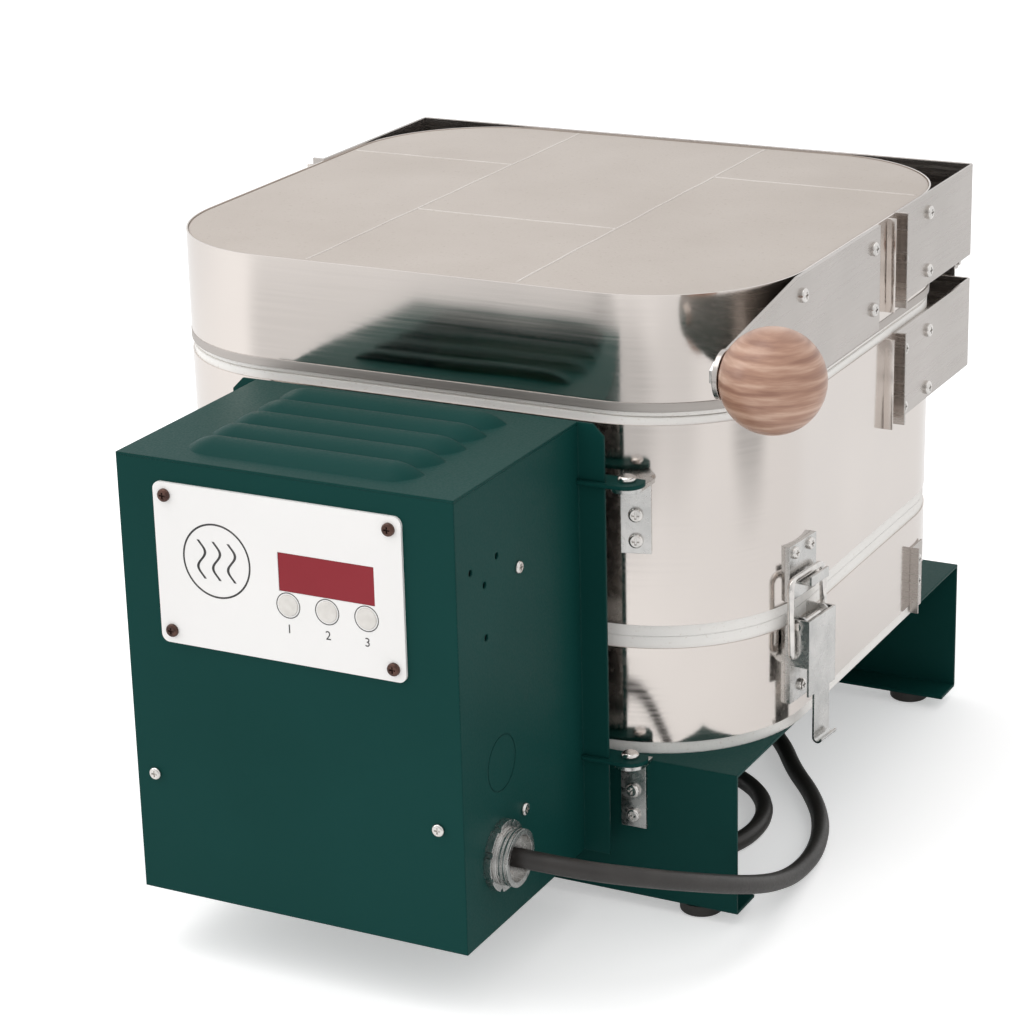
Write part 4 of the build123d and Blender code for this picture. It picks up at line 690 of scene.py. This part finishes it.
def setStage():
    emptyHands()
    bpy.ops.mesh.primitive_plane_add(
        size=stageSettings["floorSize"], location=(0, 0, -stageSettings["floorDrop"]))
    floor = nameNew("paleFloor")
    finish, tree, shader = newFinish("paleFloor")
    cloud = objectNoise(tree, 0.6)
    colour = rampColours(
        tree, cloud, [(0.3, stageSettings["floorDark"]), (0.7, stageSettings["floorLight"])])
    shader.inputs["Roughness"].default_value = 0.9
    shader.inputs["Specular IOR Level"].default_value = 0.1
    shader.inputs["Emission Color"].default_value = (1, 1, 1, 1)
    rays = addNode(tree, "ShaderNodeLightPath")
    # painted shade: for glossy rays only, the floor's colour is darkened by the patches, so the steel mirrors
    # a shaded floor
    shaded = multiplyColours(tree, colour, paintedMirrorShade(tree))
    tree.links.new(rays.outputs["Is Glossy Ray"], shaded.inputs[0])
    tree.links.new(shaded.outputs[2], shader.inputs["Base Color"])
    seenGlow = mathStep(tree, "MULTIPLY", rays.outputs["Is Camera Ray"], stageSettings["floorGlow"])
    mirroredGlow = mathStep(tree, "MULTIPLY", rays.outputs["Is Glossy Ray"], stageSettings["mirroredGlow"])
    tree.links.new(mathStep(tree, "ADD", seenGlow, mirroredGlow), shader.inputs["Emission Strength"])
    floor.data.materials.append(finish)


def lightWorld():
    world = bpy.data.worlds.new("studio")
    bpy.context.scene.world = world
    world.use_nodes = True
    tree = world.node_tree
    tree.nodes.clear()
    output = addNode(tree, "ShaderNodeOutputWorld")
    room = addNode(tree, "ShaderNodeBackground", Color=(1, 1, 1, 1), Strength=stageSettings["roomStrength"])
    seen = addNode(tree, "ShaderNodeBackground", Color=(1, 1, 1, 1))
    rays = addNode(tree, "ShaderNodeLightPath")
    seenOrMirrored = mathStep(tree, "MAXIMUM", rays.outputs["Is Camera Ray"], rays.outputs["Is Glossy Ray"])
    backdrop = mathStep(tree, "MAXIMUM", seenOrMirrored, rays.outputs["Is Transmission Ray"])
    mix = addNode(tree, "ShaderNodeMixShader")
    tree.links.new(backdrop, mix.inputs[0])
    tree.links.new(room.outputs[0], mix.inputs[1])
    tree.links.new(seen.outputs[0], mix.inputs[2])
    tree.links.new(mix.outputs[0], output.inputs[0])
    # painted shade in reflections: for glossy rays only, the room is darker towards its end behind the
    # camera, that the bright sheet mirrors
    coords = addNode(tree, "ShaderNodeTexCoord")
    facing = addNode(tree, "ShaderNodeVectorMath", operation="DOT_PRODUCT")
    facing.inputs[1].default_value = stageSettings["shadeToward"]
    tree.links.new(coords.outputs["Generated"], facing.inputs[0])
    shade = spread(
        tree, facing.outputs["Value"], 0.0, stageSettings["shade"], stageSettings["shadeFrom"],
        stageSettings["shadeTo"])
    mirroredShade = mathStep(tree, "MULTIPLY", rays.outputs["Is Glossy Ray"], shade)
    tree.links.new(mathStep(tree, "SUBTRACT", 1.0, mirroredShade), seen.inputs["Strength"])


lampAim = (0, 0, 0.15)
lampSettings = {
    "overhead": {"place": (-0.5, -0.5, 1.9), "size": 1.4, "power": 9.0},
    "left": {"place": (-1.8, -1.2, 1.1), "size": 1.0, "power": 6.0},
}


def hangLamps():
    for name, lamp in lampSettings.items():
        emptyHands()
        bpy.ops.object.light_add(type="AREA", location=lamp["place"])
        light = nameNew(name)
        light.data.size = lamp["size"]
        light.data.energy = lamp["power"]
        aim = Vector(lampAim) - Vector(lamp["place"])
        light.rotation_euler = aim.to_track_quat("-Z", "Y").to_euler()


cameraSettings = {
    "place": (0.7037, -1.4082, 0.6982), "azimuth": 27.72, "elevation": 19.40, "roll": 1.49, "lens": 106.37,
}


def placeCamera():
    azimuth, elevation, roll = (math.radians(cameraSettings[key]) for key in ("azimuth", "elevation", "roll"))
    level = math.cos(elevation)
    back = Vector((math.sin(azimuth) * level, -math.cos(azimuth) * level, math.sin(elevation)))
    right = (-back).cross(Vector((0, 0, 1))).normalized()
    down = (-back).cross(right)
    across = math.cos(roll) * right + math.sin(roll) * down
    upward = math.sin(roll) * right - math.cos(roll) * down
    turn = Matrix((across, upward, back)).transposed().to_4x4()
    emptyHands()
    bpy.ops.object.camera_add()
    camera = nameNew("camera")
    camera.matrix_world = Matrix.Translation(cameraSettings["place"]) @ turn
    camera.data.sensor_fit = "HORIZONTAL"
    camera.data.sensor_width = 36.0
    camera.data.lens = cameraSettings["lens"]
    camera.data.clip_end = 30
    bpy.context.scene.camera = camera


setStage()
lightWorld()
hangLamps()
placeCamera()
bpy.context.scene.view_settings.view_transform = "Standard"
print("stage, lights and camera set")

emptyHands()
